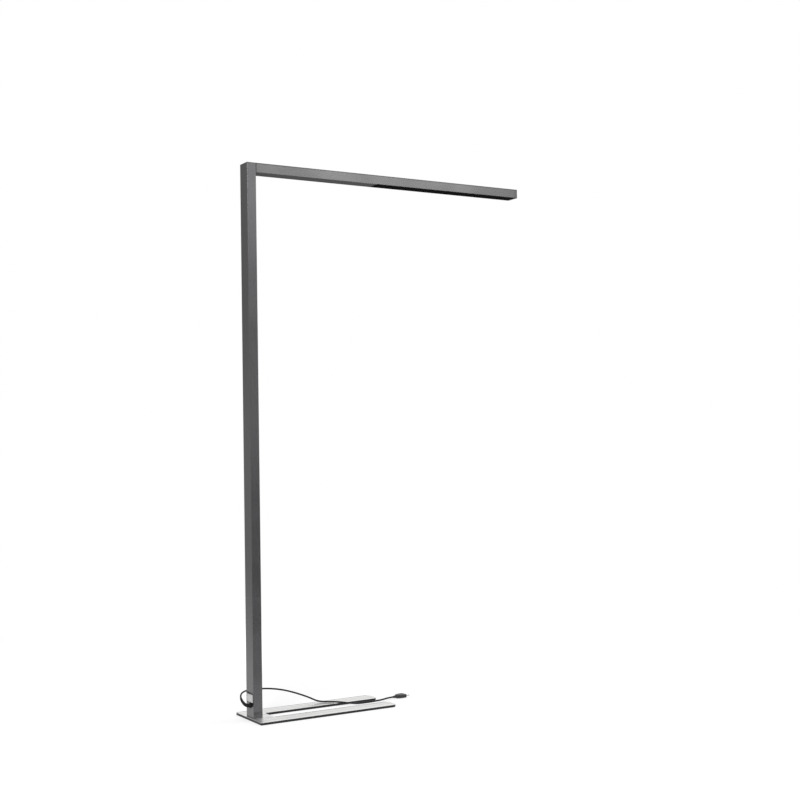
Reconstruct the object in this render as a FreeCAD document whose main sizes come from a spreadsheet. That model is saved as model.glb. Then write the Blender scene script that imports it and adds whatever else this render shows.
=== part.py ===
"""Office floor lamp: a slim column on a fork-shaped plate, and an arm that lights down and up.

Millimetres. The origin is on the floor under the column's axis, X runs along the arm, Y runs
across it and away from the side that shows, and Z is up.
"""
import FreeCAD, Part
import math
import os
import re
import Sketcher

V = FreeCAD.Vector

# Driving dimensions: name, value, meaning.
SIZES = [
    # base
    ("base_length", 540, "plate, along the arm"),
    ("base_width", 212, "plate, across the arm"),
    ("base_thickness", 8, "steel plate"),
    ("base_heel", 24, "column axis to the plate's closed end"),
    ("heel_radius", 4, "corners at the closed end"),
    ("prong_radius", 18, "corners at the prongs' ends"),
    ("slot_start", 57, "column axis to the slot's closed end"),
    ("slot_width", 76, "gap between the prongs"),
    ("slot_radius", 2, "corners of the slot's closed end"),
    ("edge_break", 0.6, "chamfer along the plate's upper edges"),
    ("underlay_thickness", 1, "rubber sheet"),
    ("underlay_inset", 1, "rubber sheet inside the plate's outline"),
    # fasteners
    ("thread_gap", 0.1, "screw to its thread, radial"),
    ("clearance_gap", 0.3, "screw to its clearance hole, radial"),
    ("base_screw_diameter", 6, "countersunk, plate to column"),
    ("base_screw_head", 12, "countersunk head"),
    ("base_screw_length", 34, "overall"),
    ("arm_bolt_diameter", 6, "cap screws, column to arm"),
    ("arm_bolt_head", 10, "cylinder head, diameter"),
    ("arm_bolt_head_height", 6, "cylinder head"),
    ("arm_bolt_length", 20, "below the head"),
    ("arm_bolt_spread", 25, "across the arm"),
    ("web_screw_diameter", 5, "arm to its connector"),
    ("web_screw_head", 8.5, "low head, diameter"),
    ("web_screw_head_height", 2.5, "low head"),
    ("web_screw_length", 20, "below the head"),
    ("web_screw_spread", 24, "across the arm"),
    ("web_screw_first", 38, "from the connector's root"),
    ("web_screw_pitch", 36, "along the arm"),
    ("end_screw_diameter", 4, "end cap to arm"),
    ("end_screw_head", 8, "countersunk head"),
    ("end_screw_length", 20, "overall"),
    ("driver_screw_diameter", 3, "driver to the arm's web"),
    ("driver_screw_head", 5.5, "pan head, diameter"),
    ("driver_screw_head_height", 2, "pan head"),
    ("driver_screw_length", 6, "below the head"),
    ("socket_across", 3, "hexagon sockets, across flats"),
    ("socket_depth", 1.6, "hexagon sockets"),
    # extrusions
    ("profile_width", 60, "column and arm, across the lamp"),
    ("profile_depth", 34, "column front to back, arm top to bottom"),
    ("profile_wall", 2, "wall of both extrusions"),
    ("profile_corner", 1.2, "outer corners of both extrusions"),
    ("column_height", 1950, "floor to the top of the lamp"),
    ("port_radius", 5.5, "screw ports in the column"),
    ("port_inset", 6.5, "port axes inside the column's faces"),
    ("cap_thickness", 3, "column's top cap"),
    ("cap_spigot", 8, "cap's spigot, depth"),
    ("cap_spigot_width", 34, "cap's spigot, between the ports"),
    ("fit_gap", 0.2, "covers and inserts to the extrusion"),
    # arm
    ("arm_reach", 1149, "column axis to the arm's free end"),
    ("arm_cap_thickness", 9, "plate on the arm's free end"),
    ("shim_thickness", 0.8, "dark shim between column and arm"),
    ("shim_inset", 0.6, "shim inside the arm's outline"),
    ("lower_channel", 17, "depth of the arm's lower channel"),
    ("web_thickness", 2.5, "wall between the channels"),
    ("arm_port_radius", 4, "screw ports in the arm"),
    ("port_sink", 0.4, "arm's screw ports into its walls"),
    ("cover_thickness", 1.5, "grey covers"),
    ("cover_leg", 5.5, "overall height of a cover's legs"),
    ("cover_leg_wall", 1.2, "thickness of a cover's legs"),
    ("clamp_thickness", 5, "steel plate inside the column"),
    ("clamp_width", 35, "steel plate, across the arm"),
    ("connector_width", 38, "steel connector, across the arm"),
    ("connector_lift", 3, "connector above the arm's underside"),
    ("connector_head", 12, "solid root of the connector"),
    ("connector_length", 92, "overall"),
    ("upper_tongue", 10, "height of the connector's upper tongue"),
    ("web_relief", 12.5, "web milled back for the connector"),
    ("bolt_row_low", 9.5, "lower bolts above the arm's underside"),
    ("bolt_row_high", 24.5, "upper bolts above the arm's underside"),
    ("lead_bore", 9, "passage for the internal lead"),
    # optics
    ("optic_start", 508, "column axis to the light opening"),
    ("optic_gap", 0.5, "end gaps of the inserts in the channels"),
    ("cell_count", 24, "louvre cells along the arm"),
    ("cell_rib", 1.4, "ribs between cells at the opening"),
    ("cell_taper", 28, "slope of the cell walls, degrees"),
    ("louvre_recess", 0.4, "moulding above the arm's underside"),
    ("board_thickness", 1.6, "circuit boards"),
    ("direct_board_width", 52, "board over the louvre"),
    ("indirect_board_width", 38, "board under the diffuser"),
    ("chip_size", 3.5, "light source package, square"),
    ("chip_height", 0.6, "light source package"),
    ("diffuser_thickness", 2, "upper light cover"),
    ("diffuser_leg", 6, "overall height of its legs"),
    # driver
    ("driver_start", 134, "column axis to the driver case"),
    ("driver_length", 330, "case"),
    ("driver_width", 40, "case"),
    ("driver_height", 13, "case and flange"),
    ("driver_flange", 1, "sheet flange"),
    ("driver_ear", 9, "flange beyond the case"),
    # column's small parts
    ("rating_width", 50, "bare rating plate"),
    ("rating_height", 30, "bare rating plate"),
    ("rating_thickness", 0.4, "bare rating plate"),
    ("rating_level", 61, "floor to its lower edge"),
    ("terminal_level", 120, "floor to the terminal block"),
    ("terminal_depth", 18, "terminal block off the wall"),
    ("terminal_width", 24, "terminal block"),
    ("terminal_height", 30, "terminal block"),
    ("terminal_hole", 3.2, "wire ports of the terminal block"),
    ("lead_diameter", 5, "internal lead"),
    ("lead_bend", 11, "bend radius at the top of the column"),
    ("lead_offset", 6, "lead behind the column's axis"),
    # gland and cord
    ("cord_diameter", 6, "mains cord"),
    ("gland_level", 51, "floor to the gland's axis"),
    ("gland_offset", 3, "gland's axis towards the side that shows"),
    ("gland_thread", 14, "thread through the wall"),
    ("gland_tail", 5, "thread inside the wall"),
    ("gland_hex", 17, "collar across flats"),
    ("gland_collar", 3, "collar thickness"),
    ("gland_dome", 3, "domed end beyond the collar"),
    ("gland_dome_root", 16, "dome diameter at the collar"),
    ("gland_dome_tip", 13.2, "dome diameter at the boot"),
    ("locknut_hex", 19, "nut across flats"),
    ("locknut_height", 4, "nut inside the wall"),
    ("boot_root", 12.4, "strain relief diameter at the gland"),
    ("boot_tip", 8, "strain relief diameter at its tip"),
    ("boot_waist", 0.6, "narrowing between two of its ribs"),
    ("boot_rings", 4, "ribs round the strain relief"),
    ("tail_bend", 6.5, "bend radius of the cord inside the column"),
    # button
    ("button_level", 1080, "floor to the button's axis"),
    ("button_diameter", 12, "cap"),
    ("button_proud", 0.6, "cap beyond the bezel"),
    ("button_dish", 0.5, "hollow in the cap's face"),
    ("button_shoulder", 14, "flange behind the bezel, diameter"),
    ("shoulder_height", 1.5, "flange behind the bezel"),
    ("running_gap", 0.3, "moving parts to fixed parts"),
    ("bezel_rim", 18, "rim on the column's face, diameter"),
    ("bezel_rim_height", 1, "rim on the column's face"),
    ("bezel_wall", 0.8, "sleeve through the column's wall"),
    ("bezel_depth", 6, "sleeve behind the column's face"),
    ("plunger_diameter", 4, "switch plunger"),
    ("plunger_length", 2.8, "switch plunger"),
    ("switch_size", 10, "switch case, square"),
    ("switch_height", 4, "switch case"),
    ("switch_floor", 1.3, "switch case under the plunger's bore"),
    ("switch_board_width", 18, "board"),
    ("switch_board_height", 38, "board"),
    ("carrier_wall", 1.5, "bracket"),
    ("carrier_width", 16, "bracket"),
    # plug
    ("plug_height", 13.7, "flat two-pin plug"),
    ("plug_width", 35.3, "flat two-pin plug"),
    ("plug_rear_width", 16, "width where the cord enters"),
    ("plug_length", 40, "moulded body"),
    ("plug_shoulder", 16, "length of its flared part"),
    ("plug_edge", 3, "rounded edges"),
    ("nose_length", 12, "strain relief of the plug"),
    ("nose_root", 10, "strain relief diameter at the body"),
    ("nose_tip", 7.4, "strain relief diameter at the cord"),
    ("pin_diameter", 4, "plug pins"),
    ("pin_length", 19, "plug pins"),
    ("pin_tip", 1.2, "tapered end of a pin"),
    ("pin_spacing", 18.6, "plug pins"),
]

# The mains cord's route, chosen by eye: round from the strain relief, behind the column, down on to
# the rear prong, over its edge into the slot and out between the prongs to the plug.
CORD_ROUTE = [
    (-37.0, 3.0, 57.0),
    (-42.2, 10.9, 64.8),
    (-42.0, 23.0, 76.0),
    (-35.0, 37.5, 84.0),
    (-22.0, 50.5, 88.8),
    (0.0, 61.5, 91.2),
    (38.0, 69.0, 90.6),
    (84.0, 72.0, 86.8),
    (132.0, 75.0, 78.0),
    (176.0, 78.0, 65.0),
    (217.0, 81.5, 49.5),
    (256.0, 85.0, 33.0),
    (290.0, 86.0, 15.0),
    (319.0, 68.0, 12.6),
    (344.5, 42.0, 14.0),
    (377.0, 22.5, 9.5),
    (416.0, 13.0, 3.6),
    (458.0, 13.5, 3.1),
    (498.0, 17.6, 3.1),
    (528.0, 21.0, 4.0),
    (553.0, 23.8, 6.85),
    (576.0, 26.3, 6.85),
]

doc = FreeCAD.newDocument("office_floor_lamp")
sheet = doc.addObject("Spreadsheet::Sheet", "Sizes")
for row, (alias, value, meaning) in enumerate(SIZES, start=1):
    sheet.set(f"A{row}", meaning)
    sheet.set(f"B{row}", str(value))
    sheet.setAlias(f"B{row}", alias)
doc.recompute()
NAMES = {alias for alias, value, meaning in SIZES}
nodes = {}

# Levels and planes that several pieces share, written in the sheet's names.
PLATE_TOP = "(underlay_thickness + base_thickness)"
BASE_END = "(base_length - base_heel)"
FACE = "(profile_depth / 2)"
HALF_WIDTH = "(profile_width / 2)"
INNER_FACE = "(profile_depth / 2 - profile_wall)"
INNER_SIDE = "(profile_width / 2 - profile_wall)"
CAP_LOW = "(column_height - cap_thickness)"
ARM_LOW = "(column_height - profile_depth)"
ARM_START = "(profile_depth / 2 + shim_thickness)"
ARM_END = "(arm_reach - arm_cap_thickness)"
WEB_LOW = "(column_height - profile_depth + lower_channel)"
WEB_TOP = "(column_height - profile_depth + lower_channel + web_thickness)"
PORT_X = "(profile_depth / 2 - port_inset)"
PORT_Y = "(profile_width / 2 - port_inset)"
ARM_PORT_Y = f"({INNER_SIDE} - arm_port_radius + port_sink)"
ARM_PORT_Z = f"({WEB_TOP} + arm_port_radius - port_sink)"
LEAD_LEVEL = f"({ARM_LOW} + bolt_row_low)"
CELL_PITCH = f"(({ARM_END} - optic_start - 2 * optic_gap) / cell_count)"
LOUVRE_DEPTH = "(lower_channel - board_thickness - louvre_recess)"
GLAND_Y = "(0 - gland_offset)"


def size(name):
    """Value of a driving dimension."""
    return float(sheet.get(name))


def formula(text):
    """Expression in which the sheet's names point at its cells."""
    return re.sub(r"[a-z_]+", lambda word: f"Sizes.{word[0]}" if word[0] in NAMES else word[0], text)


def bind(item, **sizes):
    """Tie properties to formulas; two underscores stand for a dot."""
    for name, text in sizes.items():
        item.setExpression(name.replace("__", "."), formula(text))
    return item


def place(item, x="0", y="0", z="0", axis="Z"):
    """Put a primitive's origin at a point with its own Z along an axis of the lamp."""
    turns = {
        "Z": FreeCAD.Rotation(),
        "-Z": FreeCAD.Rotation(V(1, 0, 0), 180),
        "X": FreeCAD.Rotation(V(0, 1, 0), 90),
        "-X": FreeCAD.Rotation(V(0, 1, 0), -90),
    }
    item.Placement = FreeCAD.Placement(V(), turns[axis])
    return bind(item, Placement__Base__x=x, Placement__Base__y=y, Placement__Base__z=z)


def keep(name, item):
    """Give a finished sub-part its name."""
    item.Label = name
    nodes[name] = item
    return item


# ---------------------------------------------------------------- primitives

def box(name, x, y, z):
    """Block between two values on each axis."""
    item = doc.addObject("Part::Box", name)
    bind(item, Length=f"{x[1]} - ({x[0]})", Width=f"{y[1]} - ({y[0]})", Height=f"{z[1]} - ({z[0]})")
    return place(item, x[0], y[0], z[0])


def rod(name, diameter, length, at, axis):
    """Cylinder that starts at a point."""
    item = doc.addObject("Part::Cylinder", name)
    bind(item, Radius=f"({diameter}) / 2", Height=length)
    return place(item, *at, axis=axis)


def taper(name, root, tip, length, at, axis):
    """Cone from a root diameter to a tip diameter."""
    item = doc.addObject("Part::Cone", name)
    bind(item, Radius1=f"({root}) / 2", Radius2=f"({tip}) / 2", Height=length)
    return place(item, *at, axis=axis)


def hexagon(name, across, length, at, axis):
    """Six-sided prism, measured across its flats."""
    item = doc.addObject("Part::Prism", name)
    item.Polygon = 6
    bind(item, Circumradius=f"({across}) / 2 / cos(30)", Height=length)
    return place(item, *at, axis=axis)


def fuse(name, *items):
    """One solid from several that overlap or touch."""
    item = doc.addObject("Part::MultiFuse", name)
    item.Shapes = list(items)
    return item


def subtract(name, base, *tools):
    """Base less its tools."""
    item = doc.addObject("Part::Cut", name)
    item.Base = base
    item.Tool = tools[0] if len(tools) == 1 else fuse(f"{name}_tools", *tools)
    return item


def group(name, items):
    """Identical pieces that share a node as separate solids."""
    item = doc.addObject("Part::Compound", name)
    item.Links = items
    return keep(name, item)


def countersunk_screw(name, diameter, head, length, at, axis):
    """Flat head flush at the start point, shank along the axis, hexagon socket."""
    head_height = f"({head} - {diameter}) / 2"
    cone = taper(f"{name}_head", head, diameter, head_height, at, axis)
    shank = rod(f"{name}_shank", diameter, length, at, axis)
    socket = hexagon(f"{name}_socket", "socket_across", "socket_depth", at, axis)
    return subtract(name, fuse(f"{name}_blank", cone, shank), socket)


def headed_screw(name, diameter, head, head_height, length, at, axis):
    """Cylinder head that starts at a point, with the shank beyond it and a hexagon socket."""
    cheese = rod(f"{name}_head", head, head_height, at, axis)
    shank = rod(f"{name}_shank", diameter, f"{head_height} + {length}", at, axis)
    socket = hexagon(f"{name}_socket", "socket_across", "socket_depth", at, axis)
    return subtract(name, fuse(f"{name}_blank", cheese, shank), socket)


# ---------------------------------------------------------------- bodies and sketches

def new_body(name):
    """Body that will be a sub-part."""
    return keep(name, doc.addObject("PartDesign::Body", name))


def own_plane(body, role):
    """One of the body's own origin planes or axes."""
    return next(item for item in body.Origin.OriginFeatures if item.Role == role)


def sketch_on(body, role, level="0"):
    """Sketch on one of the body's own planes, moved along that plane's normal."""
    sketch = body.newObject("Sketcher::SketchObject", f"{body.Name}_sketch")
    sketch.AttachmentSupport = (own_plane(body, role), "")
    sketch.MapMode = "FlatFace"
    return bind(sketch, AttachmentOffset__Base__z=level)


def hold(sketch, kind, places, text):
    """Dimension of a sketch, tied to a formula."""
    index = sketch.addConstraint(Sketcher.Constraint(kind, *places, 1.0))
    sketch.setExpression(f"Constraints[{index}]", formula(text))


def outline(sketch, corners):
    """Closed outline of straight sides with each corner held from the origin."""
    first = sketch.GeometryCount
    count = len(corners)
    ring = [V(math.cos(step * math.tau / count), math.sin(step * math.tau / count), 0) for step in range(count)]
    for step in range(count):
        sketch.addGeometry(Part.LineSegment(ring[step], ring[(step + 1) % count]), False)
    for step in range(count):
        joint = (first + step, 2, first + (step + 1) % count, 1)
        sketch.addConstraint(Sketcher.Constraint("Coincident", *joint))
    for step, (across, up) in enumerate(corners):
        hold(sketch, "DistanceX", (-1, 1, first + step, 1), across)
        hold(sketch, "DistanceY", (-1, 1, first + step, 1), up)


def rectangle(sketch, across, up):
    """Rectangle between two values each way."""
    outline(sketch, [(across[0], up[0]), (across[1], up[0]), (across[1], up[1]), (across[0], up[1])])


def circles(sketch, diameter, centres):
    """Equal circles about points held from the origin."""
    for across, up in centres:
        index = sketch.GeometryCount
        sketch.addGeometry(Part.Circle(V(), V(0, 0, 1), 1), False)
        hold(sketch, "DistanceX", (-1, 1, index, 3), across)
        hold(sketch, "DistanceY", (-1, 1, index, 3), up)
        hold(sketch, "Diameter", (index,), diameter)


def pad(body, sketch, length, middle=False):
    """Material along the sketch's normal, or to both sides of it."""
    item = body.newObject("PartDesign::Pad", f"{body.Name}_pad")
    item.Profile = sketch
    item.Midplane = middle
    return bind(item, Length=length)


def pocket(body, sketch, length=None, along=True):
    """Cut along the sketch's normal or against it, to a depth or through everything."""
    doc.recompute()
    before = body.Shape.Volume
    item = body.newObject("PartDesign::Pocket", f"{body.Name}_pocket")
    item.Profile = sketch
    item.Reversed = along
    if length is None:
        item.Type = "ThroughAll"
    else:
        bind(item, Length=length)
    doc.recompute()
    if not body.Shape.Volume < before:
        raise RuntimeError(f"{item.Name} removes nothing")
    return item


def along_arm(body, features, text):
    """Repeat features for every louvre cell."""
    item = body.newObject("PartDesign::LinearPattern", f"{body.Name}_pattern")
    item.Originals = features
    item.Direction = (own_plane(body, "X_Axis"), [""])
    bind(item, Length=f"{text} * (cell_count - 1)", Occurrences="cell_count")
    body.Tip = item
    return item


def near(value, target):
    """True where two lengths agree."""
    return abs(value - target) < 0.01


def lies_at(edge, axis, value):
    """True for an edge that lies in the plane where one coordinate has a value."""
    bound = edge.BoundBox
    return near(getattr(bound, f"{axis}Min"), value) and near(getattr(bound, f"{axis}Max"), value)


def edges_where(body, test):
    """Names of the edges that pass a test."""
    doc.recompute()
    found = [f"Edge{index}" for index, edge in enumerate(body.Shape.Edges, start=1) if test(edge)]
    if not found:
        raise RuntimeError(f"{body.Name} has no such edge")
    return found


def dress(body, kind, test, text):
    """Fillet or chamfer on those edges of the body's last feature that pass a test."""
    names = edges_where(body, test)
    base = body.Tip
    item = body.newObject(f"PartDesign::{kind}", f"{body.Name}_{kind.lower()}")
    item.Base = (base, names)
    bind(item, **{"Radius" if kind == "Fillet" else "Size": text})
    body.Tip = item
    return item


def round_profile(body, along):
    """Round the four long outer corners of an extrusion or of a cap that ends one."""
    half_width = size("profile_width") / 2
    half_depth = size("profile_depth") / 2
    middle = 0 if along == "Z" else size("column_height") - half_depth

    def on_corner(edge):
        centre = edge.CenterOfMass
        depth = centre.x if along == "Z" else centre.z - middle
        return near(abs(centre.y), half_width) and near(abs(depth), half_depth)

    dress(body, "Fillet", on_corner, "profile_corner")


# ---------------------------------------------------------------- tubes

def rounded_wire(points, radii):
    """Straight runs joined by tangent arcs; each inner point has a radius."""
    edges = []
    start = points[0]
    for index, radius in enumerate(radii, start=1):
        here = points[index]
        back = (points[index - 1] - here).normalize()
        ahead = (points[index + 1] - here).normalize()
        half_turn = (math.pi - back.getAngle(ahead)) / 2
        reach = radius * math.tan(half_turn)
        first = here + back * reach
        last = here + ahead * reach
        inward = (back + ahead).normalize()
        middle = here + inward * (radius / math.cos(half_turn) - radius)
        edges.append(Part.LineSegment(start, first).toShape())
        edges.append(Part.Arc(first, middle, last).toShape())
        start = last
    edges.append(Part.LineSegment(start, points[-1]).toShape())
    return Part.Wire(edges)


def free_radii(points):
    """Largest radii that a free cord's runs allow."""
    radii = []
    for before, here, after in zip(points, points[1:], points[2:]):
        turn = (here - before).getAngle(after - here)
        radii.append(0.45 * min((here - before).Length, (after - here).Length) / math.tan(turn / 2))
    return radii


def tube(name, wire, diameter):
    """Round solid along a wire, with its volume compared with section times length."""
    start = wire.OrderedEdges[0]
    circle = Part.Circle(start.valueAt(start.FirstParameter), start.tangentAt(start.FirstParameter), diameter / 2)
    solid = wire.makePipeShell([Part.Wire(circle.toShape())], True, True)
    share = solid.Volume / (math.pi * diameter ** 2 / 4 * wire.Length)
    print(f"{name}: {wire.Length:.1f} mm long, volume {share:.4f} of section times length")
    item = doc.addObject("Part::Feature", name)
    item.Shape = solid
    return keep(name, item)


# ---------------------------------------------------------------- base

def fork_outline(sketch, inset):
    """Plate outline with two prongs, drawn inside the steel's by an inset."""
    left = f"{inset} - base_heel"
    right = f"{BASE_END} - {inset}"
    side = f"(base_width / 2 - {inset})"
    slot = f"(slot_width / 2 + {inset})"
    outline(sketch, [
        (left, f"0 - {side}"),
        (right, f"0 - {side}"),
        (right, f"0 - {slot}"),
        (f"slot_start - {inset}", f"0 - {slot}"),
        (f"slot_start - {inset}", slot),
        (right, slot),
        (right, side),
        (left, side),
    ])


def round_fork(body, inset):
    """Round the heel, the prongs' ends and the closed end of the slot."""
    margin = size(inset) if inset in NAMES else 0
    left = margin - size("base_heel")
    right = size("base_length") - size("base_heel") - margin
    slot_end = size("slot_start") - margin

    def upright_at(x):
        return lambda edge: lies_at(edge, "X", x) and edge.BoundBox.YLength < 0.01

    dress(body, "Fillet", upright_at(right), f"prong_radius - {inset}")
    dress(body, "Fillet", upright_at(left), f"heel_radius - {inset}")
    dress(body, "Fillet", upright_at(slot_end), "slot_radius")


def make_base():
    """Steel fork, rubber sheet and the screws up into the column."""
    port_centres = [(f"{i} * {PORT_X}", f"{j} * {PORT_Y}") for i in (-1, 1) for j in (-1, 1)]
    plate = new_body("base_plate")
    plan = sketch_on(plate, "XY_Plane", "underlay_thickness")
    fork_outline(plan, "0")
    pad(plate, plan, "base_thickness")
    round_fork(plate, "0")
    top = size("underlay_thickness") + size("base_thickness")
    dress(plate, "Chamfer", lambda edge: lies_at(edge, "Z", top), "edge_break")
    holes = sketch_on(plate, "XY_Plane", "underlay_thickness")
    circles(holes, "base_screw_diameter + 2 * clearance_gap", port_centres)
    pocket(plate, holes)
    low = size("underlay_thickness")
    dress(plate, "Chamfer", lambda edge: lies_at(edge, "Z", low) and edge.isClosed(),
          "(base_screw_head - base_screw_diameter) / 2")

    underlay = new_body("rubber_underlay")
    plan = sketch_on(underlay, "XY_Plane")
    fork_outline(plan, "underlay_inset")
    pad(underlay, plan, "underlay_thickness")
    round_fork(underlay, "underlay_inset")

    screws = []
    for index, (x, y) in enumerate(port_centres):
        at = (x, y, "underlay_thickness")
        sizes = ("base_screw_diameter", "base_screw_head", "base_screw_length")
        screws.append(countersunk_screw(f"base_screw_{index}", *sizes, at, "Z"))
    group("base_screws", screws)


# ---------------------------------------------------------------- column

def joint_holes(sketch, bolt_diameter, lead_diameter):
    """Four bolts and the lead's passage where column and arm meet."""
    rows = (f"{ARM_LOW} + bolt_row_low", f"{ARM_LOW} + bolt_row_high")
    spots = [(f"{side} * arm_bolt_spread / 2", row) for side in (-1, 1) for row in rows]
    circles(sketch, bolt_diameter, spots)
    circles(sketch, lead_diameter, [("0", LEAD_LEVEL)])


def make_column():
    """Hollow extrusion with four screw ports, its cap and the plate inside that takes the arm."""
    column = new_body("column_profile")
    length = f"{CAP_LOW} - {PLATE_TOP}"
    port_centres = [(f"{i} * {PORT_X}", f"{j} * {PORT_Y}") for i in (-1, 1) for j in (-1, 1)]
    section = sketch_on(column, "XY_Plane", PLATE_TOP)
    rectangle(section, (f"0 - {FACE}", FACE), (f"0 - {HALF_WIDTH}", HALF_WIDTH))
    rectangle(section, (f"0 - {INNER_FACE}", INNER_FACE), (f"0 - {INNER_SIDE}", INNER_SIDE))
    pad(column, section, length)
    ports = sketch_on(column, "XY_Plane", PLATE_TOP)
    circles(ports, "2 * port_radius", port_centres)
    pad(column, ports, length)
    threads = sketch_on(column, "XY_Plane", PLATE_TOP)
    circles(threads, "base_screw_diameter + 2 * thread_gap", port_centres)
    pocket(column, threads)
    joint = sketch_on(column, "YZ_Plane")
    joint_holes(joint, "arm_bolt_diameter + 2 * clearance_gap", "lead_bore")
    pocket(column, joint)
    button = sketch_on(column, "YZ_Plane")
    circles(button, "button_diameter + 2 * (running_gap + bezel_wall + thread_gap)", [("0", "button_level")])
    pocket(column, button)
    gland = sketch_on(column, "YZ_Plane")
    circles(gland, "gland_thread + 2 * thread_gap", [(GLAND_Y, "gland_level")])
    pocket(column, gland, along=False)
    round_profile(column, "Z")

    cap = new_body("column_top_cap")
    plan = sketch_on(cap, "XY_Plane", CAP_LOW)
    rectangle(plan, (f"0 - {FACE}", FACE), (f"0 - {HALF_WIDTH}", HALF_WIDTH))
    pad(cap, plan, "cap_thickness")
    spigot = sketch_on(cap, "XY_Plane", f"{CAP_LOW} - cap_spigot")
    sides = ("0 - cap_spigot_width / 2", "cap_spigot_width / 2")
    rectangle(spigot, (f"fit_gap - {INNER_FACE}", "profile_wall"), sides)
    pad(cap, spigot, "cap_spigot")
    round_profile(cap, "Z")

    clamp = new_body("arm_clamp_plate")
    face = sketch_on(clamp, "YZ_Plane", f"{INNER_FACE} - clamp_thickness")
    rectangle(face, ("0 - clamp_width / 2", "clamp_width / 2"), (f"{ARM_LOW} + 3", f"{ARM_LOW} + profile_depth - 4"))
    pad(clamp, face, "clamp_thickness")
    joint = sketch_on(clamp, "YZ_Plane")
    joint_holes(joint, "arm_bolt_diameter + 2 * clearance_gap", "lead_bore")
    pocket(clamp, joint)

    bolts = []
    rows = (f"{ARM_LOW} + bolt_row_low", f"{ARM_LOW} + bolt_row_high")
    head_back = f"{INNER_FACE} - clamp_thickness - arm_bolt_head_height"
    for side in (-1, 1):
        for level, row in enumerate(rows):
            at = (head_back, f"{side} * arm_bolt_spread / 2", row)
            name = f"arm_bolt_{'left' if side < 0 else 'right'}_{level}"
            sizes = ("arm_bolt_diameter", "arm_bolt_head", "arm_bolt_head_height", "arm_bolt_length")
            bolts.append(headed_screw(name, *sizes, at, "X"))
    group("arm_bolts", bolts)

    shim = new_body("joint_shim")
    face = sketch_on(shim, "YZ_Plane", FACE)
    rectangle(face, (f"shim_inset - {HALF_WIDTH}", f"{HALF_WIDTH} - shim_inset"),
              (f"{ARM_LOW} + shim_inset", "column_height - shim_inset"))
    pad(shim, face, "shim_thickness")
    joint = sketch_on(shim, "YZ_Plane")
    joint_holes(joint, "arm_bolt_diameter + 2 * clearance_gap", "lead_bore")
    pocket(shim, joint)

    rating = box("rating_plate_blank", (f"0 - {FACE} - rating_thickness", f"0 - {FACE}"),
                 ("0 - rating_width / 2", "rating_width / 2"), ("rating_level", "rating_level + rating_height"))
    keep("rating_plate", rating)


def make_column_inside():
    """Terminal block, the leads held inside and what the push button works."""
    block = box("terminal_case", (f"0 - {INNER_FACE}", f"terminal_depth - {INNER_FACE}"),
                ("0 - terminal_width / 2", "terminal_width / 2"),
                ("terminal_level", "terminal_level + terminal_height"))
    ports = []
    for index in (-1, 0, 1):
        at = (f"terminal_depth - {INNER_FACE}", f"{index} * terminal_width / 3.4", "terminal_level + terminal_height / 2")
        ports.append(rod(f"terminal_port_{index + 1}", "terminal_hole", "terminal_depth / 3", at, "-X"))
    keep("terminal_block", subtract("terminal_block_cut", block, *ports))

    inner = size("profile_depth") / 2 - size("profile_wall")
    gland = V(size("gland_tail") - inner, -size("gland_offset"), size("gland_level"))
    turn_x = gland.x + size("tail_bend") + 0.5
    tail = [gland, V(turn_x, gland.y, gland.z), V(turn_x, gland.y, size("terminal_level"))]
    tube("mains_tail", rounded_wire(tail, [size("tail_bend")]), size("cord_diameter"))

    level = size("column_height") - size("profile_depth") + size("bolt_row_low")
    lead_x = -size("lead_offset")
    start = V(lead_x, 0, size("terminal_level") + size("terminal_height"))
    lead = [start, V(lead_x, 0, level), V(size("driver_start"), 0, level)]
    tube("internal_lead", rounded_wire(lead, [size("lead_bend")]), size("lead_diameter"))


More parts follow.
